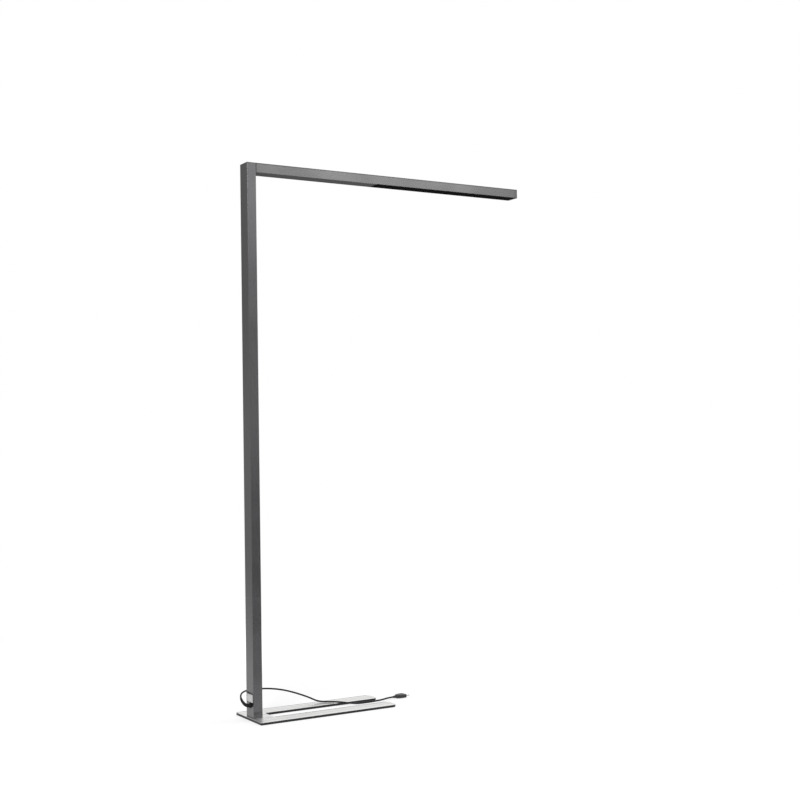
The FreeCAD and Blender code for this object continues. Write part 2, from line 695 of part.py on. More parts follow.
def make_button():
    """Bezel in the column's hidden face, sprung cap, switch and the bracket that carries it."""
    sleeve_bore = "(button_diameter + 2 * running_gap)"
    sleeve_outer = f"({sleeve_bore} + 2 * bezel_wall)"
    centre = ("0", "button_level")
    bezel = new_body("button_bezel")
    rim = sketch_on(bezel, "YZ_Plane", FACE)
    circles(rim, "bezel_rim", [centre])
    pad(bezel, rim, "bezel_rim_height")
    sleeve = sketch_on(bezel, "YZ_Plane", f"{FACE} - bezel_depth")
    circles(sleeve, sleeve_outer, [centre])
    pad(bezel, sleeve, "bezel_depth")
    bore = sketch_on(bezel, "YZ_Plane")
    circles(bore, sleeve_bore, [centre])
    pocket(bezel, bore)
    front = size("profile_depth") / 2 + size("bezel_rim_height")
    rim_width = size("bezel_rim")
    dress(bezel, "Chamfer", lambda edge: lies_at(edge, "X", front) and near(edge.BoundBox.YLength, rim_width),
          "bezel_rim_height / 2")

    shoulder_top = f"({FACE} - bezel_depth - running_gap)"
    button = new_body("dimmer_button")
    cap = sketch_on(button, "YZ_Plane", shoulder_top)
    circles(cap, "button_diameter", [centre])
    pad(button, cap, f"{FACE} + bezel_rim_height + button_proud - {shoulder_top}")
    shoulder = sketch_on(button, "YZ_Plane", f"{shoulder_top} - shoulder_height")
    circles(shoulder, "button_shoulder", [centre])
    pad(button, shoulder, "shoulder_height")
    dish = sketch_on(button, "YZ_Plane", f"{FACE} + bezel_rim_height + button_proud")
    circles(dish, "button_diameter * 0.7", [centre])
    pocket(button, dish, "button_dish", along=False)
    outer = front + size("button_proud")
    cap_width = size("button_diameter")
    dress(button, "Chamfer", lambda edge: lies_at(edge, "X", outer) and near(edge.BoundBox.YLength, cap_width),
          "button_proud")

    plunger_root = f"({shoulder_top} - shoulder_height)"
    plunger = rod("plunger_rod", "plunger_diameter", "plunger_length", (plunger_root, "0", "button_level"), "-X")
    keep("switch_plunger", plunger)

    case_front = f"({plunger_root} - plunger_length / 2)"
    case_back = f"({case_front} - switch_height)"
    case = box("switch_case", (case_back, case_front), ("0 - switch_size / 2", "switch_size / 2"),
               ("button_level - switch_size / 2", "button_level + switch_size / 2"))
    bore_depth = "switch_height - switch_floor"
    at = (case_front, "0", "button_level")
    well = rod("switch_bore", "plunger_diameter + 2 * running_gap", bore_depth, at, "-X")
    board = box("switch_board_sheet", (f"{case_back} - board_thickness", case_back),
                ("0 - switch_board_width / 2", "switch_board_width / 2"),
                ("button_level - switch_board_height / 2", "button_level + switch_board_height / 2"))
    keep("switch_board", fuse("switch_board_fused", subtract("switch_case_bored", case, well), board))

    carrier = new_body("switch_carrier")
    side_view = sketch_on(carrier, "XZ_Plane")
    back = f"({case_back} - board_thickness - carrier_wall)"
    inner_leg = "(switch_board_height / 2 + fit_gap)"
    outer_leg = f"({inner_leg} + carrier_wall)"
    outline(side_view, [
        (back, f"button_level - {outer_leg}"),
        (INNER_FACE, f"button_level - {outer_leg}"),
        (INNER_FACE, f"button_level - {inner_leg}"),
        (f"{back} + carrier_wall", f"button_level - {inner_leg}"),
        (f"{back} + carrier_wall", f"button_level + {inner_leg}"),
        (INNER_FACE, f"button_level + {inner_leg}"),
        (INNER_FACE, f"button_level + {outer_leg}"),
        (back, f"button_level + {outer_leg}"),
    ])
    pad(carrier, side_view, "carrier_width", middle=True)


# ---------------------------------------------------------------- arm

def web_screw_spots():
    """Places of the screws that hold the arm on its connector."""
    first = f"{ARM_START} + web_screw_first"
    return [(f"{first} + {step} * web_screw_pitch", f"{side} * web_screw_spread / 2")
            for step in (0, 1) for side in (-1, 1)]


def driver_screw_spots():
    """Places of the screws through the driver's ears."""
    return [("driver_start - driver_ear / 2", "0"), ("driver_start + driver_length + driver_ear / 2", "0")]


def make_arm():
    """H-shaped extrusion on a forked steel connector, with its end cap and grey covers."""
    arm = new_body("arm_profile")
    section = sketch_on(arm, "YZ_Plane", ARM_START)
    outline(section, [
        (f"0 - {HALF_WIDTH}", ARM_LOW),
        (f"0 - {INNER_SIDE}", ARM_LOW),
        (f"0 - {INNER_SIDE}", WEB_LOW),
        (INNER_SIDE, WEB_LOW),
        (INNER_SIDE, ARM_LOW),
        (HALF_WIDTH, ARM_LOW),
        (HALF_WIDTH, "column_height"),
        (INNER_SIDE, "column_height"),
        (INNER_SIDE, WEB_TOP),
        (f"0 - {INNER_SIDE}", WEB_TOP),
        (f"0 - {INNER_SIDE}", "column_height"),
        (f"0 - {HALF_WIDTH}", "column_height"),
    ])
    pad(arm, section, f"{ARM_END} - {ARM_START}")
    port_centres = [(f"{side} * {ARM_PORT_Y}", ARM_PORT_Z) for side in (-1, 1)]
    ports = sketch_on(arm, "YZ_Plane", ARM_START)
    circles(ports, "2 * arm_port_radius", port_centres)
    pad(arm, ports, f"{ARM_END} - {ARM_START}")
    threads = sketch_on(arm, "YZ_Plane", ARM_START)
    circles(threads, "end_screw_diameter + 2 * thread_gap", port_centres)
    pocket(arm, threads)
    relief = sketch_on(arm, "XY_Plane", ARM_LOW)
    reach = "(connector_width / 2 + clearance_gap)"
    rectangle(relief, (ARM_START, f"{ARM_START} + web_relief"), (f"0 - {reach}", reach))
    pocket(arm, relief)
    holes = sketch_on(arm, "XY_Plane", ARM_LOW)
    circles(holes, "web_screw_diameter + 2 * clearance_gap", web_screw_spots())
    circles(holes, "driver_screw_diameter + 2 * thread_gap", driver_screw_spots())
    pocket(arm, holes)
    round_profile(arm, "X")

    connector = new_body("arm_connector")
    sides = ("0 - connector_width / 2", "connector_width / 2")
    upper_top = f"{WEB_TOP} + upper_tongue"
    head = sketch_on(connector, "YZ_Plane", ARM_START)
    rectangle(head, sides, (f"{ARM_LOW} + connector_lift", upper_top))
    pad(connector, head, "connector_head")
    for levels in ((f"{ARM_LOW} + connector_lift", WEB_LOW), (WEB_TOP, upper_top)):
        tongue = sketch_on(connector, "YZ_Plane", ARM_START)
        rectangle(tongue, sides, levels)
        pad(connector, tongue, "connector_length")
        doc.recompute()
    bolts = sketch_on(connector, "YZ_Plane", ARM_START)
    rows = (f"{ARM_LOW} + bolt_row_low", f"{ARM_LOW} + bolt_row_high")
    spots = [(f"{side} * arm_bolt_spread / 2", row) for side in (-1, 1) for row in rows]
    circles(bolts, "arm_bolt_diameter + 2 * thread_gap", spots)
    pocket(connector, bolts, "arm_bolt_length")
    passage = sketch_on(connector, "YZ_Plane", ARM_START)
    circles(passage, "lead_bore", [("0", LEAD_LEVEL)])
    pocket(connector, passage)
    threads = sketch_on(connector, "XY_Plane", ARM_LOW)
    circles(threads, "web_screw_diameter + 2 * thread_gap", web_screw_spots())
    pocket(connector, threads)

    screws = []
    for index, (x, y) in enumerate(web_screw_spots()):
        at = (x, y, f"{upper_top} + web_screw_head_height")
        sizes = ("web_screw_diameter", "web_screw_head", "web_screw_head_height", "web_screw_length")
        screws.append(headed_screw(f"web_screw_{index}", *sizes, at, "-Z"))
    group("web_screws", screws)

    cap = new_body("arm_end_cap")
    face = sketch_on(cap, "YZ_Plane", ARM_END)
    rectangle(face, (f"0 - {HALF_WIDTH}", HALF_WIDTH), (ARM_LOW, "column_height"))
    pad(cap, face, "arm_cap_thickness")
    holes = sketch_on(cap, "YZ_Plane", ARM_END)
    circles(holes, "end_screw_diameter + 2 * clearance_gap", port_centres)
    pocket(cap, holes)
    round_profile(cap, "X")
    end = size("arm_reach")
    dress(cap, "Chamfer", lambda edge: lies_at(edge, "X", end) and edge.isClosed(),
          "(end_screw_head - end_screw_diameter) / 2")
    dress(cap, "Chamfer", lambda edge: lies_at(edge, "X", end) and not edge.isClosed(), "edge_break")

    screws = []
    for index, (y, z) in enumerate(port_centres):
        sizes = ("end_screw_diameter", "end_screw_head", "end_screw_length")
        screws.append(countersunk_screw(f"end_cap_screw_{index}", *sizes, ("arm_reach", y, z), "-X"))
    group("end_cap_screws", screws)

    cover_channel("arm_lower_cover", ARM_LOW, "1", "cover_thickness", "cover_leg",
                  ARM_START, "optic_start - optic_gap")
    cover_channel("arm_upper_cover", "column_height", "-1", "cover_thickness", "cover_leg",
                  ARM_START, "optic_start - optic_gap")


def cover_channel(name, face, up, thickness, leg, start, end):
    """Shallow channel that closes one side of the arm: a flat face and two snap legs."""
    body = new_body(name)
    side = f"({INNER_SIDE} - fit_gap)"
    inner = f"({side} - cover_leg_wall)"
    flat = f"{face} + {up} * {thickness}"
    tips = f"{face} + {up} * {leg}"
    section = sketch_on(body, "YZ_Plane", start)
    outline(section, [
        (f"0 - {side}", face),
        (side, face),
        (side, tips),
        (inner, tips),
        (inner, flat),
        (f"0 - {inner}", flat),
        (f"0 - {inner}", tips),
        (f"0 - {side}", tips),
    ])
    pad(body, section, f"{end} - {start}")
    return body


# ---------------------------------------------------------------- optics and driver

def board_with_chips(name, width, low, chips_up, row_offset):
    """Circuit board with one light source over each louvre cell."""
    body = new_body(name)
    start = "(optic_start + optic_gap)"
    plan = sketch_on(body, "XY_Plane", low)
    rectangle(plan, (start, f"{ARM_END} - optic_gap"), (f"0 - {width} / 2", f"{width} / 2"))
    pad(body, plan, "board_thickness")
    level = f"{low} + board_thickness" if chips_up else f"{low} - chip_height"
    pair = sketch_on(body, "XY_Plane", level)
    middle = f"({start} + {CELL_PITCH} / 2)"
    for side in (-1, 1):
        row = f"{side} * {row_offset}"
        rectangle(pair, (f"{middle} - chip_size / 2", f"{middle} + chip_size / 2"),
                  (f"{row} - chip_size / 2", f"{row} + chip_size / 2"))
    chips = pad(body, pair, "chip_height")
    doc.recompute()
    along_arm(body, [chips], CELL_PITCH)


def make_optics():
    """Black louvre of tapered cells below, opal cover above, and the boards between."""
    start = "(optic_start + optic_gap)"
    low = f"({ARM_LOW} + louvre_recess)"
    side = f"({INNER_SIDE} - fit_gap)"
    louvre = new_body("direct_louvre")
    plan = sketch_on(louvre, "XY_Plane", low)
    rectangle(plan, (start, f"{ARM_END} - optic_gap"), (f"0 - {side}", side))
    pad(louvre, plan, LOUVRE_DEPTH)
    narrowing = f"({LOUVRE_DEPTH} * tan(cell_taper))"
    ends = (f"({start} + cell_rib / 2)", f"({start} + {CELL_PITCH} - cell_rib / 2)")
    funnels = []
    for row in (-1, 1):
        sides = (f"({row} * cell_rib / 2)", f"({row} * ({side} - cell_rib))")[::row]
        funnel = louvre.newObject("PartDesign::SubtractiveWedge", "direct_louvre_funnel")
        funnel.AttachmentSupport = (own_plane(louvre, "XZ_Plane"), "")
        funnel.MapMode = "FlatFace"
        bind(funnel, Xmin=ends[0], Xmax=ends[1], Ymin=low, Ymax=f"{low} + {LOUVRE_DEPTH}",
             Zmin=sides[0], Zmax=sides[1], X2min=f"{ends[0]} + {narrowing}", X2max=f"{ends[1]} - {narrowing}",
             Z2min=f"{sides[0]} + {narrowing}", Z2max=f"{sides[1]} - {narrowing}")
        funnels.append(funnel)
    doc.recompute()
    along_arm(louvre, funnels, CELL_PITCH)

    row_middle = f"({side} / 2)"
    board_with_chips("direct_led_board", "direct_board_width", f"({WEB_LOW} - board_thickness)", False, row_middle)
    board_with_chips("indirect_led_board", "indirect_board_width", WEB_TOP, True, "(indirect_board_width / 4)")
    cover_channel("indirect_diffuser", "column_height", "-1", "diffuser_thickness", "diffuser_leg",
                  "(optic_start + optic_gap)", f"{ARM_END} - optic_gap")

    driver = new_body("led_driver")
    flange = sketch_on(driver, "XY_Plane", f"{WEB_LOW} - driver_flange")
    ends = ("driver_start - driver_ear", "driver_start + driver_length + driver_ear")
    rectangle(flange, ends, ("0 - driver_width / 2", "driver_width / 2"))
    pad(driver, flange, "driver_flange")
    case = sketch_on(driver, "XY_Plane", f"{WEB_LOW} - driver_height")
    rectangle(case, ("driver_start", "driver_start + driver_length"), ("0 - driver_width / 2", "driver_width / 2"))
    pad(driver, case, "driver_height")
    holes = sketch_on(driver, "XY_Plane", f"{WEB_LOW} - driver_flange")
    circles(holes, "driver_screw_diameter + 2 * clearance_gap", driver_screw_spots())
    pocket(driver, holes)

    screws = []
    for index, (x, y) in enumerate(driver_screw_spots()):
        at = (x, y, f"{WEB_LOW} - driver_flange - driver_screw_head_height")
        sizes = ("driver_screw_diameter", "driver_screw_head", "driver_screw_head_height", "driver_screw_length")
        screws.append(headed_screw(f"driver_screw_{index}", *sizes, at, "Z"))
    group("driver_screws", screws)


# ---------------------------------------------------------------- gland, cord and plug

def make_gland():
    """Nylon gland through the column's wall, its nut inside and the curved strain relief."""
    at = (f"gland_tail - {INNER_FACE}", GLAND_Y, "gland_level")
    thread = rod("gland_thread_rod", "gland_thread", "gland_tail + profile_wall", at, "-X")
    collar_at = (f"0 - {FACE}", GLAND_Y, "gland_level")
    collar = hexagon("gland_collar_hex", "gland_hex", "gland_collar", collar_at, "-X")
    dome_at = (f"0 - {FACE} - gland_collar", GLAND_Y, "gland_level")
    dome = taper("gland_dome_cone", "gland_dome_root", "gland_dome_tip", "gland_dome", dome_at, "-X")
    keep("cord_gland", fuse("cord_gland_fused", thread, collar, dome))

    nut_at = (f"0 - {INNER_FACE}", GLAND_Y, "gland_level")
    nut = hexagon("locknut_hexagon", "locknut_hex", "locknut_height", nut_at, "X")
    bore = rod("locknut_bore", "gland_thread + 2 * thread_gap", "locknut_height", nut_at, "X")
    keep("gland_locknut", subtract("locknut_cut", nut, bore))

    root = V(-size("profile_depth") / 2 - size("gland_collar") - size("gland_dome"),
             -size("gland_offset"), size("gland_level"))
    chord = V(*CORD_ROUTE[0]) - root
    rise = V(0, chord.y, chord.z)
    radius = chord.Length ** 2 / (2 * rise.Length)
    half_turn = math.atan2(rise.Length, -chord.x)
    side = rise.normalize()
    middle = root + V(-radius * math.sin(half_turn), 0, 0) + side * (radius * (1 - math.cos(half_turn)))
    edge = Part.Arc(root, middle, V(*CORD_ROUTE[0])).toShape()
    stations = 4 * int(size("boot_rings"))
    circles_along = []
    for station in range(stations + 1):
        share = station / stations
        width = size("boot_root") + share * (size("boot_tip") - size("boot_root"))
        waist = size("boot_waist") if station % 4 in (2, 3) else 0
        position = edge.FirstParameter + share * (edge.LastParameter - edge.FirstParameter)
        circle = Part.Circle(edge.valueAt(position), edge.tangentAt(position), (width - waist) / 2)
        circles_along.append(Part.Wire(circle.toShape()))
    boot = doc.addObject("Part::Feature", "cord_boot_loft")
    boot.Shape = Part.makeLoft(circles_along, True, True)
    keep("cord_boot", boot)
    print(f"cord_boot: bend radius {radius:.1f} mm")


def make_cord():
    """The free cord, and the flat plug that it ends in."""
    points = [V(*point) for point in CORD_ROUTE]
    radii = free_radii(points)
    print("power_cord radii:", " ".join(f"{radius:.0f}" for radius in radii))
    tube("power_cord", rounded_wire(points, radii), size("cord_diameter"))

    heading = points[-1] - points[-2]
    turn = math.degrees(math.atan2(heading.y, heading.x))
    plug_place = FreeCAD.Placement(points[-1], FreeCAD.Rotation(V(0, 0, 1), turn))

    plug = new_body("plug_body")
    plan = sketch_on(plug, "XY_Plane")
    front = "(nose_length + plug_length)"
    shoulder = "(nose_length + plug_shoulder)"
    outline(plan, [
        ("nose_length", "0 - plug_rear_width / 2"),
        (shoulder, "0 - plug_width / 2"),
        (front, "0 - plug_width / 2"),
        (front, "plug_width / 2"),
        (shoulder, "plug_width / 2"),
        ("nose_length", "plug_rear_width / 2"),
    ])
    pad(plug, plan, "plug_height", middle=True)
    half = size("plug_height") / 2
    dress(plug, "Fillet", lambda edge: near(abs(edge.CenterOfMass.z), half), "plug_edge")
    profile = sketch_on(plug, "XZ_Plane")
    outline(profile, [
        ("0", "0"),
        ("nose_length + plug_edge", "0"),
        ("nose_length + plug_edge", "nose_root / 2"),
        ("0", "nose_tip / 2"),
    ])
    nose = plug.newObject("PartDesign::Revolution", "plug_nose")
    nose.Profile = profile
    nose.ReferenceAxis = (profile, ["H_Axis"])
    nose.Angle = 360
    plug.Tip = nose
    plug.Placement = plug_place

    pins = []
    for side in (-1, 1):
        at = (front, f"{side} * pin_spacing / 2", "0")
        shank = rod(f"pin_{side + 1}_shank", "pin_diameter", "pin_length - pin_tip", at, "X")
        end = (f"{front} + pin_length - pin_tip", f"{side} * pin_spacing / 2", "0")
        tip = taper(f"pin_{side + 1}_tip", "pin_diameter", "pin_diameter / 2", "pin_tip", end, "X")
        pins.append(fuse(f"plug_pin_{side + 1}", shank, tip))
    group("plug_pins", pins).Placement = plug_place


def write_parts():
    """Recompute, test every object and write one file for each sub-part."""
    doc.recompute()
    for item in doc.Objects:
        if "Invalid" in item.State or "Error" in item.State:
            raise RuntimeError(f"{item.Label} did not compute: {item.State}")
    os.makedirs("parts", exist_ok=True)
    for name, item in nodes.items():
        shape = item.Shape
        if shape.isNull() or not shape.isValid() or not shape.Solids:
            raise RuntimeError(f"{name} is not a valid solid")
        shape.exportStep(f"parts/{name}.step")
        print(f"{name}: {len(shape.Solids)} solid(s), {shape.Volume / 1000:.2f} cm3")


make_base()
make_column()
make_column_inside()
make_button()
make_arm()
make_optics()
make_gland()
make_cord()
write_parts()
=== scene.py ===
"""Office floor lamp, dressed: a slim column on a fork-shaped steel plate, with a flat lit arm.

Metres, in the row frame: the origin is on the floor under the column's axis, +X runs along the arm,
+Y runs across it and away from the side that shows, and +Z is up.
"""
import logging
import math
from dataclasses import dataclass, replace
from enum import Enum

import bpy
import numpy as np
from mathutils import Matrix, Vector

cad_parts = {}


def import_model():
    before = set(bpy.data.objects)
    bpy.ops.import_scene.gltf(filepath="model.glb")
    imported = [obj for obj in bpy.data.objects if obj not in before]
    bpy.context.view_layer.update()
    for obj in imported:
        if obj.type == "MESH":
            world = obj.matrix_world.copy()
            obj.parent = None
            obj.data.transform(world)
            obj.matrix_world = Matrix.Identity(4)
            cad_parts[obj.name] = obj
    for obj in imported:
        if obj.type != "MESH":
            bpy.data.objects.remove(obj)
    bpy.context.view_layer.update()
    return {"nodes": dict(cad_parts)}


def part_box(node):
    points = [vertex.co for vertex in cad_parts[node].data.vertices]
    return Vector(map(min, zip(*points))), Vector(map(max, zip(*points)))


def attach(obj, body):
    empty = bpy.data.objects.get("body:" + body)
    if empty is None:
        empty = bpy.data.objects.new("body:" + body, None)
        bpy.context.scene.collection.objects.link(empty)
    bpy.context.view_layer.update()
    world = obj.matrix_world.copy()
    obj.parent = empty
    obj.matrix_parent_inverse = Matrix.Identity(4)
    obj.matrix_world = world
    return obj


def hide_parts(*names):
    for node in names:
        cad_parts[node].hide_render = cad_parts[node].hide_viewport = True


log = logging.getLogger("floor_lamp")
BODY = "lamp"
MM = 0.001

Colour = tuple[float, float, float]
Place = tuple[float, float, float]
Span = tuple[float, float]
Stops = tuple[Span, ...]
Socket = bpy.types.NodeSocket


# ------------ material graphs

class Axis(Enum):
    """Axis of the row frame; its value is its place in a vector."""

    X = 0
    Y = 1
    Z = 2


@dataclass
class Graph:
    """Node graph of a material or of the surround.

    Attributes:
        owner: the material or world that the nodes belong to.
    """

    owner: bpy.types.ID

    @classmethod
    def new(cls, name: str) -> "Graph":
        """Start a material's graph.

        Args:
            name: the material's name.

        Returns:
            The graph, with an output and a shader already joined.
        """
        material = bpy.data.materials.new(name)
        material.use_nodes = True
        material.node_tree.nodes.clear()
        graph = cls(material)
        output = graph.add("ShaderNodeOutputMaterial")
        shader = graph.add("ShaderNodeBsdfPrincipled")
        shader.name = "shader"
        output.name = "output"
        graph.link(shader.outputs["BSDF"], output.inputs["Surface"])
        return graph

    @property
    def shader(self) -> bpy.types.Node:
        """The graph's surface shader."""
        return self.owner.node_tree.nodes["shader"]

    def add(self, kind: str, **settings: object) -> bpy.types.Node:
        """Add a node.

        Args:
            kind: the node's type name.
            settings: properties to set on it.

        Returns:
            The new node.
        """
        node = self.owner.node_tree.nodes.new(kind)
        for key, value in settings.items():
            setattr(node, key, value)
        return node

    def link(self, source: Socket, target: Socket) -> None:
        """Join an output to an input."""
        self.owner.node_tree.links.new(source, target)

    def feed(self, item: object, socket: Socket) -> None:
        """Give an input what feeds it.

        Args:
            item: an output to join, or a number or a colour to set.
            socket: the input.
        """
        if isinstance(item, Socket):
            self.link(item, socket)
        else:
            socket.default_value = (*item, 1.0) if isinstance(item, tuple) else item

    def set(self, **values: object) -> None:
        """Set constants on the shader's own sockets; underscores stand for spaces."""
        for key, value in values.items():
            self.shader.inputs[key.replace("_", " ")].default_value = value

    def place(self, stretch: Place = (1.0, 1.0, 1.0)) -> Socket:
        """Object coordinates, scaled on each axis.

        Args:
            stretch: the factor on each axis.

        Returns:
            The vector output.
        """
        coordinates = self.add("ShaderNodeTexCoord")
        mapping = self.add("ShaderNodeMapping")
        mapping.inputs["Scale"].default_value = stretch
        self.link(coordinates.outputs["Object"], mapping.inputs["Vector"])
        return mapping.outputs["Vector"]

    def noise(self, vector: Socket, size: float, detail: float = 2.0) -> Socket:
        """Noise whose features have about a given size.

        Args:
            vector: where it is read.
            size: feature size in metres.
            detail: octaves.

        Returns:
            The value output, near 0.5 on average.
        """
        node = self.add("ShaderNodeTexNoise")
        node.inputs["Scale"].default_value = 1.0 / size
        node.inputs["Detail"].default_value = detail
        self.link(vector, node.inputs["Vector"])
        return node.outputs["Fac"]

    def between(self, value: Socket, low: float, high: float,
                start: float = 0.3, end: float = 0.7) -> Socket:
        """Map a value's range to another, clamped.

        Args:
            value: the input.
            low: output at start.
            high: output at end.
            start: lower input.
            end: upper input.

        Returns:
            The mapped value.
        """
        node = self.add("ShaderNodeMapRange")
        node.inputs["From Min"].default_value = start
        node.inputs["From Max"].default_value = end
        node.inputs["To Min"].default_value = low
        node.inputs["To Max"].default_value = high
        self.link(value, node.inputs["Value"])
        return node.outputs["Result"]

    def mix(self, share: Socket, first: object, second: object, kind: str = "FLOAT") -> Socket:
        """Mix two numbers or two colours, each a constant or an output.

        Args:
            share: 0 gives the first, 1 the second.
            first: constant or output.
            second: constant or output.
            kind: "FLOAT" for numbers, "RGBA" for colours.

        Returns:
            The mixed number or colour.
        """
        node = self.add("ShaderNodeMix", data_type=kind)
        low, high, result = {"FLOAT": (2, 3, 0), "RGBA": (6, 7, 2)}[kind]
        for item, place in ((share, 0), (first, low), (second, high)):
            self.feed(item, node.inputs[place])
        return node.outputs[result]

    def blend(self, share: Socket, first: object, second: object) -> Socket:
        """Mix two colours, each a colour or an output."""
        return self.mix(share, first, second, "RGBA")

    def vary(self, share: Socket, colour: Colour, low: float, high: float,
             start: float = 0.3, end: float = 0.7) -> Socket:
        """Vary a colour from one shade of it at the share's start to another at its end."""
        return self.blend(self.between(share, 0.0, 1.0, start, end), shade(colour, low), shade(colour, high))

    def colour(self, source: Socket) -> None:
        """Feed the shader's base colour."""
        self.link(source, self.shader.inputs["Base Color"])

    def roughness(self, source: Socket) -> None:
        """Feed the shader's roughness."""
        self.link(source, self.shader.inputs["Roughness"])

    def bump(self, height: Socket, depth: float) -> None:
        """Feed the shader's normal from a height.

        Args:
            height: value from 0 to 1.
            depth: metres between 0 and 1.
        """
        node = self.add("ShaderNodeBump")
        node.inputs["Strength"].default_value = 1.0
        node.inputs["Distance"].default_value = depth
        self.link(height, node.inputs["Height"])
        self.link(node.outputs["Normal"], self.shader.inputs["Normal"])

    def coordinate(self, axis: Axis) -> Socket:
        """One Object coordinate in metres.

        Args:
            axis: which one.

        Returns:
            The value output.
        """
        coordinates = self.add("ShaderNodeTexCoord")
        split = self.add("ShaderNodeSeparateXYZ")
        self.link(coordinates.outputs["Object"], split.inputs["Vector"])
        return split.outputs[axis.value]

    def maths(self, operation: str, first: object, second: object = 0.0) -> Socket:
        """Arithmetic on numbers or outputs.

        Args:
            operation: name of the operation.
            first: number or output.
            second: number or output.

        Returns:
            The result.
        """
        node = self.add("ShaderNodeMath", operation=operation)
        self.feed(first, node.inputs[0])
        self.feed(second, node.inputs[1])
        return node.outputs["Value"]

    def distance(self, axis: Axis, place: float) -> Socket:
        """Distance in metres from a plane across one axis."""
        return self.maths("ABSOLUTE", self.maths("SUBTRACT", self.coordinate(axis), place))


def shade(colour: Colour, factor: float) -> Colour:
    """A colour made lighter or darker by a factor."""
    return tuple(min(1.0, channel * factor) for channel in colour)


# ------------ finishes

@dataclass(frozen=True)
class Finish:
    """Surface finish with a material of its own.

    Attributes:
        name: the material's name.
    """

    name: str

    def build(self) -> bpy.types.Material:
        """Make the material.

        Returns:
            The material, with the finish laid on its graph.
        """
        graph = Graph.new(self.name)
        self.lay(graph)
        return graph.owner

    def lay(self, graph: Graph) -> None:
        """Lay the finish's nodes on a graph; each kind of finish has its own."""
        raise NotImplementedError


@dataclass(frozen=True)
class AnthraciteCoat(Finish):
    """Fine-grained satin coating over an extrusion.

    Attributes:
        colour: the coat's colour.
        metallic: share of metal flake that shows.
        roughness: the middle of its roughness.
        grain: size of the coat's grain.
        depth: depth of the grain.
        drawn: width of the faint drawn lines under the coat.
        patch: size of the patches in which the gloss varies.
        along: the extrusion's direction, which the drawn lines follow.
        top: height of the upper arris, beside which the coat is darkened by painted shade, or 0 for none.
        joints: places along X of cut ends, beside which the coat is darkened by painted shade.
        rim: start along X and height of an opening's rim, beside which painted shade makes the coat nearly
            black, if any.
        line: width of the painted shade line at a joint; the arris's is wider and the rim's narrower.
        arris_width: width of the arris's painted shade line over that of a joint's.
        arris_share: how much painted shade darkens the coat beside the arris, from 0 to 1.
        joint_share: how much painted shade darkens it beside a joint.
    """

    colour: Colour = (0.139, 0.136, 0.141)
    metallic: float = 0.88
    roughness: float = 0.22
    grain: float = 0.5 * MM
    depth: float = 0.006 * MM
    drawn: float = 2.5 * MM
    patch: float = 0.12
    along: Axis = Axis.Z
    top: float = 0.0
    joints: tuple[float, ...] = ()
    rim: Span | None = None
    line: float = 2.4 * MM
    arris_width: float = 1.6
    arris_share: float = 0.45
    joint_share: float = 0.42

    def lay(self, graph: Graph) -> None:
        """Lay grain as bump and flake, faint lines along the extrusion and slow variation of gloss.

        Painted shade darkens the coat where the distance to the arris, to a joint or to the rim is less
        than its line's width.

        Args:
            graph: the material's graph.
        """
        graph.set(Metallic=self.metallic, Specular_IOR_Level=0.5)
        grain = graph.noise(graph.place(), self.grain, 3.0)
        stretch = [1.0, 1.0, 1.0]
        stretch[self.along.value] = 0.01
        lines = graph.noise(graph.place(tuple(stretch)), self.drawn)
        patches = graph.noise(graph.place(), self.patch, 1.0)
        flake = graph.vary(grain, self.colour, 0.94, 1.08, 0.42, 0.6)
        coat = graph.blend(graph.between(lines, 0.0, 0.3), flake, shade(self.colour, 0.84))
        # painted shade beside the cut ends and the upper arris
        darker = [(Axis.X, place, self.joint_share, self.line) for place in self.joints]
        if self.top:
            darker.append((Axis.Z, self.top, self.arris_share, self.arris_width * self.line))
        for axis, place, share, width in darker:
            near = graph.between(graph.distance(axis, place), share, 0.0, 0.8 * width, 1.2 * width)
            coat = graph.blend(near, coat, shade(self.colour, 0.1))
        # painted shade: a nearly black strip along the opening's rim
        if self.rim:
            start, height = self.rim
            rise = graph.maths("SUBTRACT", graph.coordinate(Axis.Z), height)
            near = graph.between(rise, 1.0, 0.0, 0.4 * self.line, 0.55 * self.line)
            opened = graph.maths("GREATER_THAN", graph.coordinate(Axis.X), start)
            coat = graph.blend(graph.maths("MULTIPLY", near, opened), coat, shade(self.colour, 0.06))
        graph.colour(coat)
        slow = graph.between(patches, self.roughness - 0.025, self.roughness + 0.03)
        fine = graph.between(grain, -0.02, 0.03, 0.4, 0.62)
        graph.roughness(graph.maths("ADD", slow, fine))
        graph.bump(grain, self.depth)


